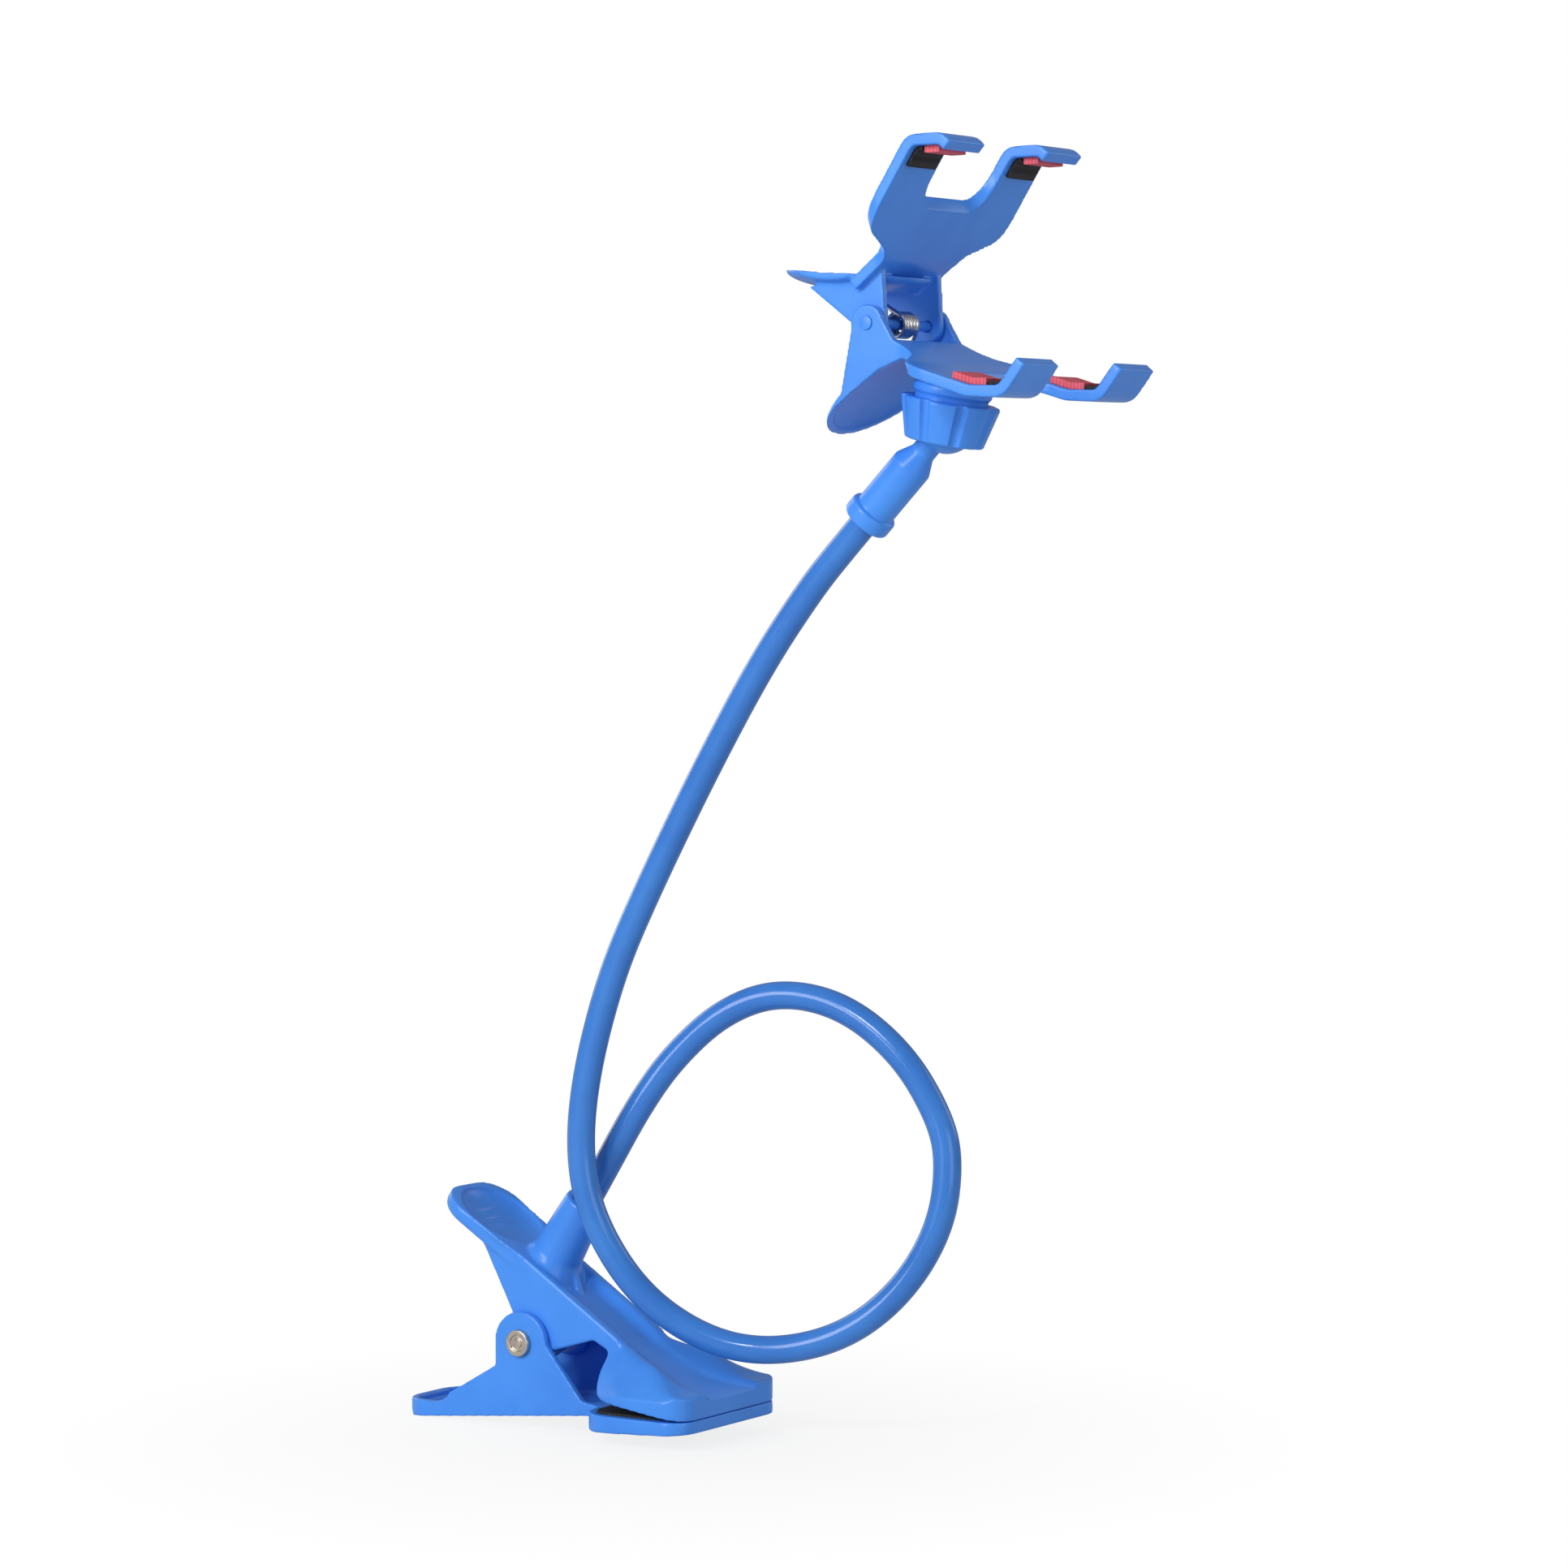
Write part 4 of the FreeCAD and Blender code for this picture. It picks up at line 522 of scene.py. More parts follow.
@dataclass
class MeltedMoulding:
    """A moulding's own solid with every edge and inner corner melted round.

    Args:
        node: the CAD node that is copied and stood for.
        body: the body that carries it.
        voxel: how fine the remesh is that melts the edges.
        passes: how often the melted surface is relaxed.
        share: how many of the remesh's faces are kept.
        slot: the record's slot of its finish.
        added: forms that are fused with it first.
        removed: forms that are then cut out of it.
        softness: how soft it is at a place in millimetres, from 0 to 1, where some is softer.
        soft_passes: how often what is wholly soft is relaxed.
        wound: for a spring, the bodies at its two ends and its coil's half length; the spring is
            fixed where it stands and its legs follow no body.
    """

    node: str
    body: Body
    voxel: float
    passes: int
    share: float
    slot: Slot = Slot.BLUE_PLASTIC
    added: Sequence[bpy.types.Object] = ()
    removed: Sequence[bpy.types.Object] = ()
    softness: Callable[[Vector], float] | None = None
    soft_passes: int = 450
    wound: Winding | None = None

    def build(self, frame: dict[str, Any], finishes: Finishes) -> None:
        """Copy the node's mesh, melt its edges and let the copy stand for the node.

        Args:
            frame: the loaded frame.
            finishes: the shared finishes.
        """
        source = frame["nodes"][self.node]
        piece = source.copy()
        piece.data = source.data.copy()
        piece.name = f"{self.node}_moulding"
        piece.parent = None
        piece.matrix_world = source.matrix_world
        bpy.context.collection.objects.link(piece)
        only(piece)
        bpy.ops.object.mode_set(mode="EDIT")
        bpy.ops.mesh.select_all(action="SELECT")
        bpy.ops.mesh.remove_doubles(threshold=WELD)
        bpy.ops.object.mode_set(mode="OBJECT")
        self._reshape(piece)
        self._melt(piece)
        keep(piece, self.body, self.slot, finishes, self.wound)
        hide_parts(self.node)

    def _reshape(self, piece: bpy.types.Object) -> None:
        """Fuse the added forms into the copy and cut the removed ones out of it."""
        if self.added:
            only(piece)
            for form in self.added:
                form.select_set(True)
            bpy.ops.object.join()
        if self.removed:
            add_modifier(piece, "REMESH", mode="VOXEL", voxel_size=self.voxel)
            for form in self.removed:
                add_cut(piece, form)
            apply_modifiers(piece)
            for form in self.removed:
                bpy.data.objects.remove(form)

    def _melt(self, piece: bpy.types.Object) -> None:
        """Remesh the copy finely, relax it, most where it is soft, and thin it out again."""
        add_modifier(piece, "REMESH", mode="VOXEL", voxel_size=self.voxel)
        if self.softness is not None:
            apply_modifiers(piece)
            group = piece.vertex_groups.new(name="soft")
            for point in piece.data.vertices:
                group.add([point.index], self.softness(point.co / MM), "REPLACE")
            add_modifier(
                piece, "SMOOTH", factor=RELAX, iterations=self.soft_passes, vertex_group="soft"
            )
        add_modifier(piece, "SMOOTH", factor=RELAX, iterations=self.passes)
        add_modifier(piece, "DECIMATE", ratio=self.share)
        apply_modifiers(piece)
        bpy.ops.object.shade_smooth()


def pick(piece: bpy.types.Object, kind: str, test: Callable[[Vector], bool]) -> None:
    """Select what passes a test, and go into edit mode.

    Args:
        piece: the piece to work on.
        kind: VERT, EDGE or FACE.
        test: says from its place, or the place of its middle, whether each is wanted.
    """
    only(piece)
    bpy.ops.object.mode_set(mode="EDIT")
    bpy.ops.mesh.select_mode(type=kind)
    bpy.ops.mesh.select_all(action="DESELECT")
    bpy.ops.object.mode_set(mode="OBJECT")
    points = piece.data.vertices
    if kind == "VERT":
        for point in points:
            point.select = test(point.co)
    elif kind == "EDGE":
        for edge in piece.data.edges:
            first, last = (points[index].co for index in edge.vertices)
            edge.select = test((first + last) / 2.0)
    else:
        for face in piece.data.polygons:
            face.select = test(face.center)
    bpy.ops.object.mode_set(mode="EDIT")


def block(low: Point, high: Point) -> bpy.types.Object:
    """A plain block between two corners, to be shaped or cut with.

    Args:
        low: its lowest corner, in millimetres.
        high: its highest corner, in millimetres.

    Returns:
        The block.
    """
    bpy.ops.object.select_all(action="DESELECT")
    near, far = Vector(low) * MM, Vector(high) * MM
    bpy.ops.mesh.primitive_cube_add(size=1.0, location=(near + far) / 2.0, scale=far - near)
    made = bpy.context.object
    settle(made)
    return made


def bar_across(radius: float, length: float, centre: Point) -> bpy.types.Object:
    """A round bar that lies across on Y, to be cut with.

    Args:
        radius: its radius, in millimetres.
        length: its length, in millimetres.
        centre: its middle, in millimetres.

    Returns:
        The bar.
    """
    bpy.ops.object.select_all(action="DESELECT")
    bpy.ops.mesh.primitive_cylinder_add(
        vertices=FACETS, radius=radius * MM, depth=length * MM, location=Vector(centre) * MM,
        rotation=(math.radians(90.0), 0.0, 0.0),
    )
    made = bpy.context.object
    settle(made)
    return made


def round_corners(form: bpy.types.Object, rear: float, radius: float) -> None:
    """Round the two upright corners at the rear of a block.

    Args:
        form: the block.
        rear: where its rear end lies on X, in millimetres.
        radius: radius of the corners, in millimetres.
    """
    limit = rear * MM + CLOSE
    pick(form, "EDGE", lambda place: place.x < limit and abs(place.y) > CLOSE)
    bpy.ops.mesh.bevel(offset=radius * MM, segments=CORNER_SEGMENTS, affect="EDGES")
    bpy.ops.object.mode_set(mode="OBJECT")


def turn_about(piece: bpy.types.Object, centre: Point, angle: float) -> None:
    """Carry a piece to a place and turn it about Y there.

    Args:
        piece: the piece, modelled from the origin.
        centre: where its origin goes, in millimetres.
        angle: turn about Y in degrees, which takes X downwards.
    """
    place = Matrix.Translation(Vector(centre) * MM)
    piece.matrix_world = place @ Matrix.Rotation(math.radians(angle), 4, "Y")
    settle(piece)


def push(distance: float) -> None:
    """Extrude the selected faces along Y by that much."""
    bpy.ops.mesh.extrude_region_move(TRANSFORM_OT_translate={"value": (0.0, distance, 0.0)})


@dataclass
class TurnedPin:
    """A hinge pin with a round head on the near side, as it is turned on a lathe.

    Args:
        node: the CAD node that it stands for.
        body: the body that carries it.
        shank: radius of the shank.
        head: radius of the head.
        head_height: how far the head stands out.
        edge: width of the round on its edges.
        steps: insets of the head's face, each with how far it then rises.
        slot: the record's slot of its finish.
        sides: how many facets it has round it.
        edge_segments: facets across a rounded edge.
        sharp: bend in degrees from which an edge is rounded.
        smooth: bend in degrees up to which it is shaded smooth.
    """

    node: str
    body: Body
    shank: float
    head: float
    head_height: float
    edge: float
    steps: tuple[Pair, ...] = ()
    slot: Slot = Slot.PLATED_STEEL
    sides: int = 72
    edge_segments: int = 3
    sharp: float = 40.0
    smooth: float = 35.0

    def build(self, finishes: Finishes) -> None:
        """Turn the pin on the node's own axis and let it stand for the node.

        Args:
            finishes: the shared finishes.
        """
        low, high = (Vector(corner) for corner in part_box(self.node))
        centre = (low + high) / 2.0
        length = high.y - low.y - self.head_height
        bpy.ops.object.select_all(action="DESELECT")
        bpy.ops.mesh.primitive_cylinder_add(
            vertices=self.sides, radius=self.shank, depth=length, end_fill_type="NGON",
            location=(centre.x, high.y - length / 2.0, centre.z),
            rotation=(math.radians(90.0), 0.0, 0.0),
        )
        piece = bpy.context.object
        piece.name = f"{self.node}_turned"
        settle(piece)
        near = high.y - length
        pick(piece, "FACE", lambda place: abs(place.y - near) < CLOSE)
        push(0.0)
        share = self.head / self.shank
        bpy.ops.transform.resize(
            value=(share, 1.0, share), center_override=(centre.x, near, centre.z)
        )
        push(-self.head_height)
        for inset, rise in self.steps:
            bpy.ops.mesh.inset(thickness=inset)
            push(-rise)
        bpy.ops.object.mode_set(mode="OBJECT")
        add_modifier(
            piece, "BEVEL", width=self.edge, segments=self.edge_segments,
            angle_limit=math.radians(self.sharp),
        )
        apply_modifiers(piece)
        bpy.ops.object.shade_smooth_by_angle(angle=math.radians(self.smooth))
        keep(piece, self.body, self.slot, finishes)
        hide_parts(self.node)


@dataclass
class Studio:
    """Camera at the photograph's viewpoint, soft lamps and a pale floor.

    Args:
        eye: the camera's place.
        tilt: its turn about X in degrees.
        azimuth: its turn about Z in degrees.
        lens: its focal length in real millimetres.
        sensor: width of its sensor in real millimetres.
        view_end: how far it sees.
        middle: what the lamps are aimed at.
        lamps: each square softbox by name, with its place, its size and its power in watts.
        ambient: strength of the light from all round.
        floor_size: length of the floor's sides.
        floor_level: height of the floor.
        paper_share: share of plain white in the floor under the holder.
        paper_fade: how much that share grows with each metre.
    """

    eye: Point = (872.1 * MM, -1283.3 * MM, 264.9 * MM)
    tilt: float = 87.2
    azimuth: float = 33.0
    lens: float = 117.04
    sensor: float = 36.0
    view_end: float = 100.0
    middle: Point = (0.02, 0.0, 0.19)
    lamps: dict[str, tuple[Point, float, float]] = field(
        default_factory=lambda: {
            "key": ((-0.42, -1.68, 0.78), 0.8, 18.5),
            "fill": ((1.75, -0.60, 0.50), 0.9, 5.5),
            "sparkle": ((0.20, -1.50, 1.08), 0.2, 7.0),
            "back": ((-1.70, 0.60, 0.70), 0.9, 5.0),
            "side": ((1.10, 1.50, 0.90), 0.9, 4.0),
        }
    )
    ambient: float = 0.3
    floor_size: float = 12.0
    floor_level: float = -11.2 * MM
    paper_share: float = 0.82
    paper_fade: float = 0.9

    def build(self) -> None:
        """Make the camera, the lamps, the world and the floor."""
        self._camera()
        self._lamps()
        self._world()
        self._floor()
        bpy.context.scene.view_settings.view_transform = "Standard"

    def _camera(self) -> None:
        """Stand the camera where the photograph was taken from."""
        data = bpy.data.cameras.new("photo_camera")
        data.lens = self.lens
        data.sensor_width = self.sensor
        data.clip_end = self.view_end
        camera = bpy.data.objects.new("photo_camera", data)
        camera.location = self.eye
        camera.rotation_euler = (math.radians(self.tilt), 0.0, math.radians(self.azimuth))
        bpy.context.collection.objects.link(camera)
        bpy.context.scene.camera = camera

    def _lamps(self) -> None:
        """Hang the softboxes, each aimed at the middle of the holder."""
        for name, (place, size, power) in self.lamps.items():
            data = bpy.data.lights.new(f"{name}_softbox", "AREA")
            data.shape = "SQUARE"
            data.size = size
            data.energy = power
            lamp = bpy.data.objects.new(f"{name}_softbox", data)
            lamp.location = place
            aim = Vector(self.middle) - Vector(place)
            lamp.rotation_euler = aim.to_track_quat("-Z", "Y").to_euler()
            bpy.context.collection.objects.link(lamp)

    def _world(self) -> None:
        """Dim even surroundings that look white to the camera."""
        world = bpy.data.worlds.new("studio_white")
        bpy.context.scene.world = world
        graph = Graph(world)
        seen = graph.node("ShaderNodeLightPath", {}, {}, "Is Camera Ray")
        lit = graph.node("ShaderNodeBackground", {}, {"Color": WHITE, "Strength": self.ambient})
        white = graph.node("ShaderNodeBackground", {}, {"Color": WHITE, "Strength": 1.0})
        mixed = graph.node("ShaderNodeMixShader", {}, {0: seen, 1: lit, 2: white})
        graph.node("ShaderNodeOutputWorld", {}, {"Surface": mixed})

    def _floor(self) -> None:
        """A wide pale floor whose paper keeps the shadow near the holder and is white beyond."""
        bpy.ops.object.select_all(action="DESELECT")
        bpy.ops.mesh.primitive_plane_add(
            size=self.floor_size, location=(0.0, 0.0, self.floor_level)
        )
        floor = bpy.context.object
        floor.name = "studio_floor"
        settle(floor)
        material = bpy.data.materials.new("studio_floor_paper")
        graph = Graph(material)
        away = graph.node(
            "ShaderNodeVectorMath", {"operation": "LENGTH"}, {0: graph.place()}, "Value"
        )
        white_share = (away * self.paper_fade + self.paper_share).clamped()
        seen = graph.node("ShaderNodeLightPath", {}, {}, "Is Camera Ray")
        paper = graph.node("ShaderNodeBsdfDiffuse", {}, {"Color": PAPER})
        white = graph.node("ShaderNodeEmission", {}, {"Color": WHITE, "Strength": 1.0})
        mixed = graph.node("ShaderNodeMixShader", {}, {0: seen * white_share, 1: paper, 2: white})
        graph.node("ShaderNodeOutputMaterial", {}, {"Surface": mixed})
        floor.data.materials.append(material)


@dataclass
class UpperLeverForms:
    """What is fused with the clamp's upper lever and cut out of it, in millimetres.

    All but the toe is modelled from the clamp's pin, with X down the lever's slope and Z square to
    it, and then carried to its place.

    Args:
        pin: the clamp pin's middle.
        slope: the lever's slope in degrees.
        top: height of the lever's upper side over the pin.
        thumb_ends: rear and front end of the thumb plate.
        thumb_halves: half width of the plate at the rear and at the front.
        thumb_corner: radius of its rear corners.
        thumb_depth: thickness of the plate.
        thumb_roll: radius of its rolled lower edge.
        roll_segments: facets across that edge.
        dish_middle: middle of the dish on X.
        dish_halves: half sizes of the dish.
        dish_facets: facets round the ball that hollows the dish, and from pole to pole.
        ribs: where its grip ribs lie on X.
        rib_radius: radius of a rib.
        rib_sink: how far a rib's middle lies under the dish's floor.
        boss_along: the gooseneck boss on X.
        boss_flare: lower radius, upper radius and height of its foot.
        boss_wall: how far the foot reaches inwards.
        toe: middle on X, middle on Z and radius of the hollow over the toe.
        toe_width: width of that hollow.
        soft_start: where the toe starts to be soft, on X and on Z.
        soft_reach: how much further it is wholly soft.
    """

    pin: Point = (-48.7, 0.0, 15.5)
    slope: float = 32.6
    top: float = 21.8
    thumb_ends: Pair = (-51.0, -13.0)
    thumb_halves: Pair = (16.6, 12.4)
    thumb_corner: float = 12.5
    thumb_depth: float = 5.0
    thumb_roll: float = 2.4
    roll_segments: int = 6
    dish_middle: float = -34.6
    dish_halves: Point = (14.6, 13.8, 3.8)
    dish_facets: tuple[int, int] = (64, 48)
    ribs: tuple[float, ...] = (-42.0, -38.0, -34.0)
    rib_radius: float = 0.8
    rib_sink: float = 0.2
    boss_along: float = -11.0
    boss_flare: tuple[float, float, float] = (11.6, 7.6, 6.4)
    boss_wall: float = 2.4
    toe: tuple[float, float, float] = (22.0, 29.2, 24.0)
    toe_width: float = 90.0
    soft_start: Pair = (-14.0, 6.0)
    soft_reach: Pair = (8.0, 3.0)

    def added(self) -> list[bpy.types.Object]:
        """The forms that are fused with the lever."""
        return [self._thumb_plate(), self._boss_foot()]

    def removed(self) -> list[bpy.types.Object]:
        """The forms that are cut out of it."""
        toe_x, toe_z, radius = self.toe
        return [self._thumb_dish(), bar_across(radius, self.toe_width, (toe_x, 0.0, toe_z))]

    def softness(self, place: Vector) -> float:
        """How soft the lever is at a place: wholly on top of its toe, else hard."""
        along = (place.x - self.soft_start[0]) / self.soft_reach[0]
        above = (place.z - self.soft_start[1]) / self.soft_reach[1]
        return max(0.0, min(1.0, along, above))

    def _thumb_plate(self) -> bpy.types.Object:
        """Thumb plate with round rear corners and a rolled edge below."""
        (rear, front), (wide, narrow) = self.thumb_ends, self.thumb_halves
        low = self.top - self.thumb_depth
        plate = block((rear, -wide, low), (front, wide, self.top))
        front_limit, low_limit = front * MM - CLOSE, low * MM + CLOSE
        pick(plate, "VERT", lambda place: place.x > front_limit)
        bpy.ops.transform.resize(
            value=(1.0, narrow / wide, 1.0), center_override=(0.0, 0.0, 0.0)
        )
        bpy.ops.object.mode_set(mode="OBJECT")
        round_corners(plate, rear, self.thumb_corner)
        pick(plate, "VERT", lambda place: place.z < low_limit and place.x < front_limit)
        bpy.ops.mesh.bevel(
            offset=self.thumb_roll * MM, segments=self.roll_segments, affect="EDGES"
        )
        bpy.ops.object.mode_set(mode="OBJECT")
        turn_about(plate, self.pin, self.slope)
        return plate

    def _thumb_dish(self) -> bpy.types.Object:
        """Hollow of the thumb dish, with grooves where its grip ribs stay standing."""
        length, width, depth = self.dish_halves
        segments, rings = self.dish_facets
        bpy.ops.object.select_all(action="DESELECT")
        bpy.ops.mesh.primitive_uv_sphere_add(
            segments=segments, ring_count=rings, radius=MM, scale=self.dish_halves,
            location=Vector((self.dish_middle, 0.0, self.top)) * MM,
        )
        dish = bpy.context.object
        settle(dish)
        for along in self.ribs:
            off = (along - self.dish_middle) / length
            middle = self.top - depth * math.sqrt(1.0 - off * off) - self.rib_sink
            across = 2.0 * width * OVERSHOOT
            groove = bar_across(self.rib_radius, across, (along, 0.0, middle))
            add_cut(dish, groove)
            apply_modifiers(dish)
            bpy.data.objects.remove(groove)
        turn_about(dish, self.pin, self.slope)
        return dish

    def _boss_foot(self) -> bpy.types.Object:
        """Flared foot of the gooseneck boss, over both rims of the lever."""
        base, top, height = self.boss_flare
        bpy.ops.object.select_all(action="DESELECT")
        bpy.ops.mesh.primitive_cone_add(
            vertices=FACETS, radius1=base * MM, radius2=top * MM, depth=height * MM,
            end_fill_type="NOTHING", location=Vector((self.boss_along, 0.0, self.top)) * MM,
        )
        foot = bpy.context.object
        settle(foot)
        add_modifier(foot, "SOLIDIFY", thickness=self.boss_wall * MM, offset=-1.0)
        apply_modifiers(foot)
        turn_about(foot, self.pin, self.slope)
        return foot


@dataclass
class LowerHandleForms:
    """What is fused with the lower lever's handle and cut out of it, in millimetres.

    Args:
        rear: rear end of the handle on X.
        half: half width of the handle.
        rim: height of its level rim.
        depth: how far the added end reaches below the rim.
        length: how far it reaches forwards.
        corner: radius of its rear corners.
        wall: thickness of the wall round its hollow.
        hollow: length and height of the hollow.
        floor: rear end of the lever's floor inside, on X and on Z.
        floor_rise: how steeply the floor rises forwards, in degrees.
        dip: where the rim starts to rise on X, and the radius of that rise.
        clearance: how much more is cut off behind and above the rim.
    """

    rear: float = -95.0
    half: float = 15.3
    rim: float = -5.8
    depth: float = 2.6
    length: float = 18.0
    corner: float = 9.0
    wall: float = 2.4
    hollow: Pair = (20.0, 30.0)
    floor: Pair = (-91.5, -8.4)
    floor_rise: float = 5.34
    dip: Pair = (-82.0, 7.0)
    clearance: Pair = (9.0, 30.0)

    def added(self) -> list[bpy.types.Object]:
        """Round-cornered end of the handle, up to its level rim."""
        low = (self.rear, -self.half, self.rim - self.depth)
        end = block(low, (self.rear + self.length, self.half, self.rim))
        round_corners(end, self.rear, self.corner)
        return [end]

    def removed(self) -> list[bpy.types.Object]:
        """The handle's hollow, and what is cut off above its rim up to the rise."""
        behind, above = self.clearance
        start, radius = self.dip
        side = self.half * OVERSHOOT
        return [
            self._hollow(),
            block((self.rear - behind, -side, self.rim), (start, side, self.rim + above)),
            bar_across(radius, 2.0 * side, (start, 0.0, self.rim + radius)),
        ]

    def _hollow(self) -> bpy.types.Object:
        """Hollow of the handle's end, on the lever's rising floor."""
        (length, height), (floor_x, floor_z) = self.hollow, self.floor
        back, inner = self.rear + self.wall - floor_x, self.half - self.wall
        hollow = block((back, -inner, 0.0), (back + length, inner, height))
        round_corners(hollow, back, self.corner - self.wall)
        turn_about(hollow, (floor_x, 0.0, floor_z), -self.floor_rise)
        return hollow


@dataclass
class BaseClamp:
    """The spring clamp for the desk: two levers, their linings, pin and spring.

    Args:
        finishes: the shared finishes.
        frame: the loaded frame.
    """

    finishes: Finishes
    frame: dict[str, Any]

    def build(self) -> None:
        """Make every piece of the clamp."""
        root, lever, black = Body.CLAMP_AND_ARM, Body.LOWER_LEVER, Slot.BLACK_RUBBER
        upper, handle = UpperLeverForms(), LowerHandleForms()
        for moulding in (
            MeltedMoulding(
                "clamp_upper_jaw", root, voxel=0.45 * MM, passes=5, share=0.4,
                added=upper.added(), removed=upper.removed(), softness=upper.softness,
            ),
            MeltedMoulding(
                "clamp_lower_jaw", lever, voxel=0.45 * MM, passes=5, share=0.4,
                added=handle.added(), removed=handle.removed(),
            ),
            MeltedMoulding(
                "upper_jaw_pad", root, voxel=0.3 * MM, passes=3, share=0.4, slot=black
            ),
            MeltedMoulding(
                "lower_jaw_pad", lever, voxel=0.3 * MM, passes=3, share=0.4, slot=black
            ),
            MeltedMoulding(
                "clamp_spring", root, voxel=0.25 * MM, passes=3, share=0.6,
                slot=Slot.SPRING_STEEL, wound=(root, lever, 3.4 * MM),
            ),
            MeltedMoulding(
                "clamp_pin_nut", root, voxel=0.14 * MM, passes=3, share=0.5,
                slot=Slot.PLATED_STEEL,
            ),
        ):
            moulding.build(self.frame, self.finishes)
        TurnedPin(
            "clamp_pin", root, shank=2.5 * MM, head=4.1 * MM, head_height=1.7 * MM, edge=0.35 * MM,
            steps=((1.5 * MM, -0.7 * MM), (1.1 * MM, 0.42 * MM)),
        ).build(self.finishes)


@dataclass
class Gooseneck:
    """The arm's smooth plastic sheath along its looped route.

    Points are in millimetres.

    Args:
        finishes: the shared finishes.
        radius: radius of the sheath.
        order: order of its line, which is 3 where each stretch is a parabola.
        steps: how many pieces the line has from one point to the next.
        ring_steps: how finely it is rounded.
        boss_floor: where it starts, inside the boss.
        boss_lead: a point straight above, which holds its way out.
        stem_lead: a point just before the stem, which holds its way in.
        stem_end: where it ends, inside the stem.
        route: the points between, from the boss to the stem.
    """

    finishes: Finishes
    radius: float = 4.3 * MM
    order: int = 3
    steps: int = 16
    ring_steps: int = 10
    boss_floor: Point = (-42.21, 0.0, 45.97)
    boss_lead: Point = (-27.15, 0.0, 69.53)
    stem_lead: Point = (59.0, 0.0, 260.19)
    stem_end: Point = (77.96, 0.0, 279.41)
    route: tuple[Point, ...] = (
        (-17.0, 4.0, 89.4),
        (-7.4, 8.5, 104.4),
        (7.7, 13.0, 118.8),
        (25.2, 18.0, 125.6),
        (46.2, 22.0, 122.0),
        (65.6, 24.0, 108.4),
        (78.0, 25.0, 90.4),
        (82.6, 24.0, 76.8),
        (81.4, 21.0, 56.8),
        (70.2, 17.0, 36.8),
        (53.2, 11.0, 22.4),
        (30.7, 5.0, 16.4),
        (11.2, -2.0, 19.6),
        (-8.8, -8.0, 32.5),
        (-22.6, -12.0, 53.4),
        (-27.8, -13.0, 73.3),
        (-26.3, -12.0, 98.5),
        (-17.6, -10.0, 131.0),
        (-5.9, -7.0, 157.6),
        (12.9, -4.0, 193.8),
        (31.9, -2.0, 226.0),
        (48.0, 0.0, 248.4),
    )

    def build(self) -> None:
        """Make the sheath as a smooth tube on one NURBS line."""
        points = [self.boss_floor, self.boss_lead, *self.route, self.stem_lead, self.stem_end]
        curve = bpy.data.curves.new("arm_line", "CURVE")
        curve.dimensions = "3D"
        spline = curve.splines.new("NURBS")
        spline.points.add(len(points) - 1)
        for spot, point in zip(spline.points, points):
            spot.co = (*(Vector(point) * MM), 1.0)
        spline.order_u = self.order
        spline.use_endpoint_u = True
        spline.resolution_u = self.steps
        curve.bevel_depth = self.radius
        curve.bevel_resolution = self.ring_steps
        curve.use_fill_caps = True
        piece = bpy.data.objects.new("arm_sheath", curve)
        bpy.context.collection.objects.link(piece)
        only(piece)
        bpy.ops.object.convert(target="MESH")
        piece = bpy.context.object
        bpy.ops.object.shade_smooth()
        keep(piece, Body.CLAMP_AND_ARM, Slot.BLUE_PLASTIC, self.finishes)
        piece.data.materials[0] = self.finishes.sleeve
        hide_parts("gooseneck_sheath")


@dataclass
class BallJoint:
    """The ball stem and the fluted lock nut.

    Args:
        finishes: the shared finishes.
        frame: the loaded frame.
    """

    finishes: Finishes
    frame: dict[str, Any]

    def build(self) -> None:
        """Make every piece of the joint."""
        for node, body in (("ball_stem", Body.STEM), ("lock_nut", Body.NUT)):
            moulding = MeltedMoulding(node, body, voxel=0.25 * MM, passes=3, share=0.5)
            moulding.build(self.frame, self.finishes)


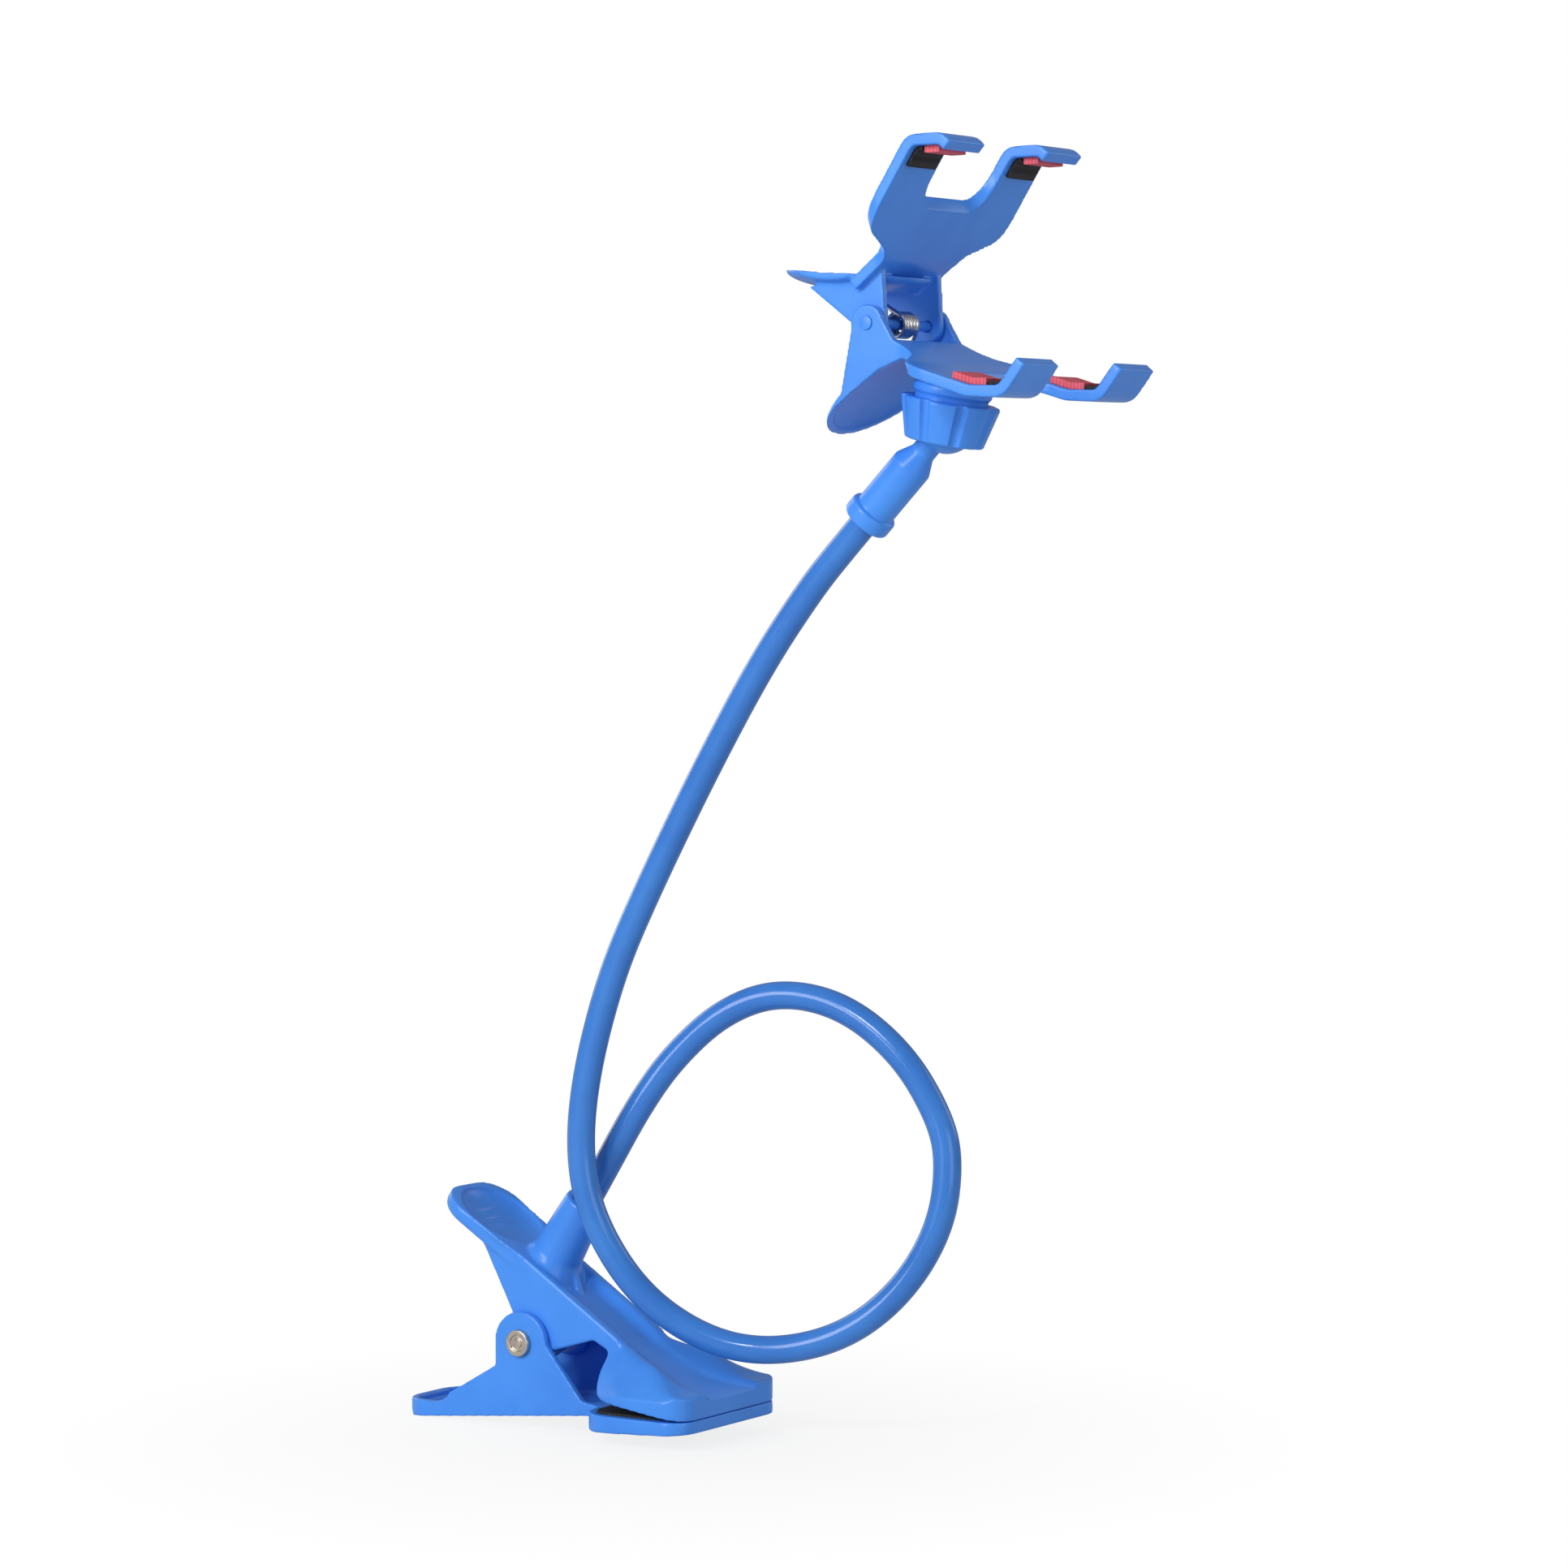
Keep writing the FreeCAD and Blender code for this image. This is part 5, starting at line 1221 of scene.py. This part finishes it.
@dataclass
class PhoneClip:
    """The phone clip: two jaws with handles, pads, liners, pin and spring.

    Args:
        finishes: the shared finishes.
        frame: the loaded frame.
    """

    finishes: Finishes
    frame: dict[str, Any]

    def build(self) -> None:
        """Make every piece of the clip."""
        clip, upper = Body.CLIP, Body.CLIP_UPPER
        mouldings = [
            MeltedMoulding("clip_lower_jaw", clip, voxel=0.4 * MM, passes=5, share=0.4),
            MeltedMoulding("clip_upper_jaw", upper, voxel=0.4 * MM, passes=5, share=0.4),
        ]
        linings = {"grip_pad": Slot.RED_RUBBER, "hook_liner": Slot.BLACK_RUBBER}
        for jaw, body in (("lower", clip), ("upper", upper)):
            for side in ("near", "far"):
                for lining, slot in linings.items():
                    mouldings.append(
                        MeltedMoulding(
                            f"{lining}_{jaw}_{side}", body, voxel=0.18 * MM, passes=2, share=0.5,
                            slot=slot,
                        )
                    )
        mouldings += [
            MeltedMoulding(
                "clip_spring", clip, voxel=0.2 * MM, passes=3, share=0.6,
                slot=Slot.SPRING_STEEL, wound=(upper, clip, 2.7 * MM),
            ),
            MeltedMoulding(
                "clip_pin_washer", clip, voxel=0.12 * MM, passes=2, share=0.5,
                slot=Slot.PLATED_STEEL,
            ),
        ]
        for moulding in mouldings:
            moulding.build(self.frame, self.finishes)
        TurnedPin(
            "clip_pin", clip, shank=1.5 * MM, head=2.1 * MM, head_height=0.5 * MM, edge=0.2 * MM,
            slot=Slot.BLUE_PLASTIC,
        ).build(self.finishes)


def dress_nodes(frame: dict[str, Any], finishes: Finishes) -> None:
    """Give every CAD node that still shows its finish.

    Args:
        frame: the loaded frame.
        finishes: the shared finishes.
    """
    slots = {part["node"]: part["material_slot"] for part in frame["record"]["subparts"]}
    for name, node in frame["nodes"].items():
        finishes.dress(node, Slot(slots[name]))


def main() -> None:
    """Load the frame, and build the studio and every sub-assembly."""
    logging.basicConfig(level=logging.INFO, format="%(name)s: %(message)s")
    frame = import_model()
    Studio().build()
    finishes = Finishes()
    dress_nodes(frame, finishes)
    for assembly in (
        BaseClamp(finishes, frame),
        Gooseneck(finishes),
        BallJoint(finishes, frame),
        PhoneClip(finishes, frame),
    ):
        assembly.build()


if __name__ == "__main__":
    main()
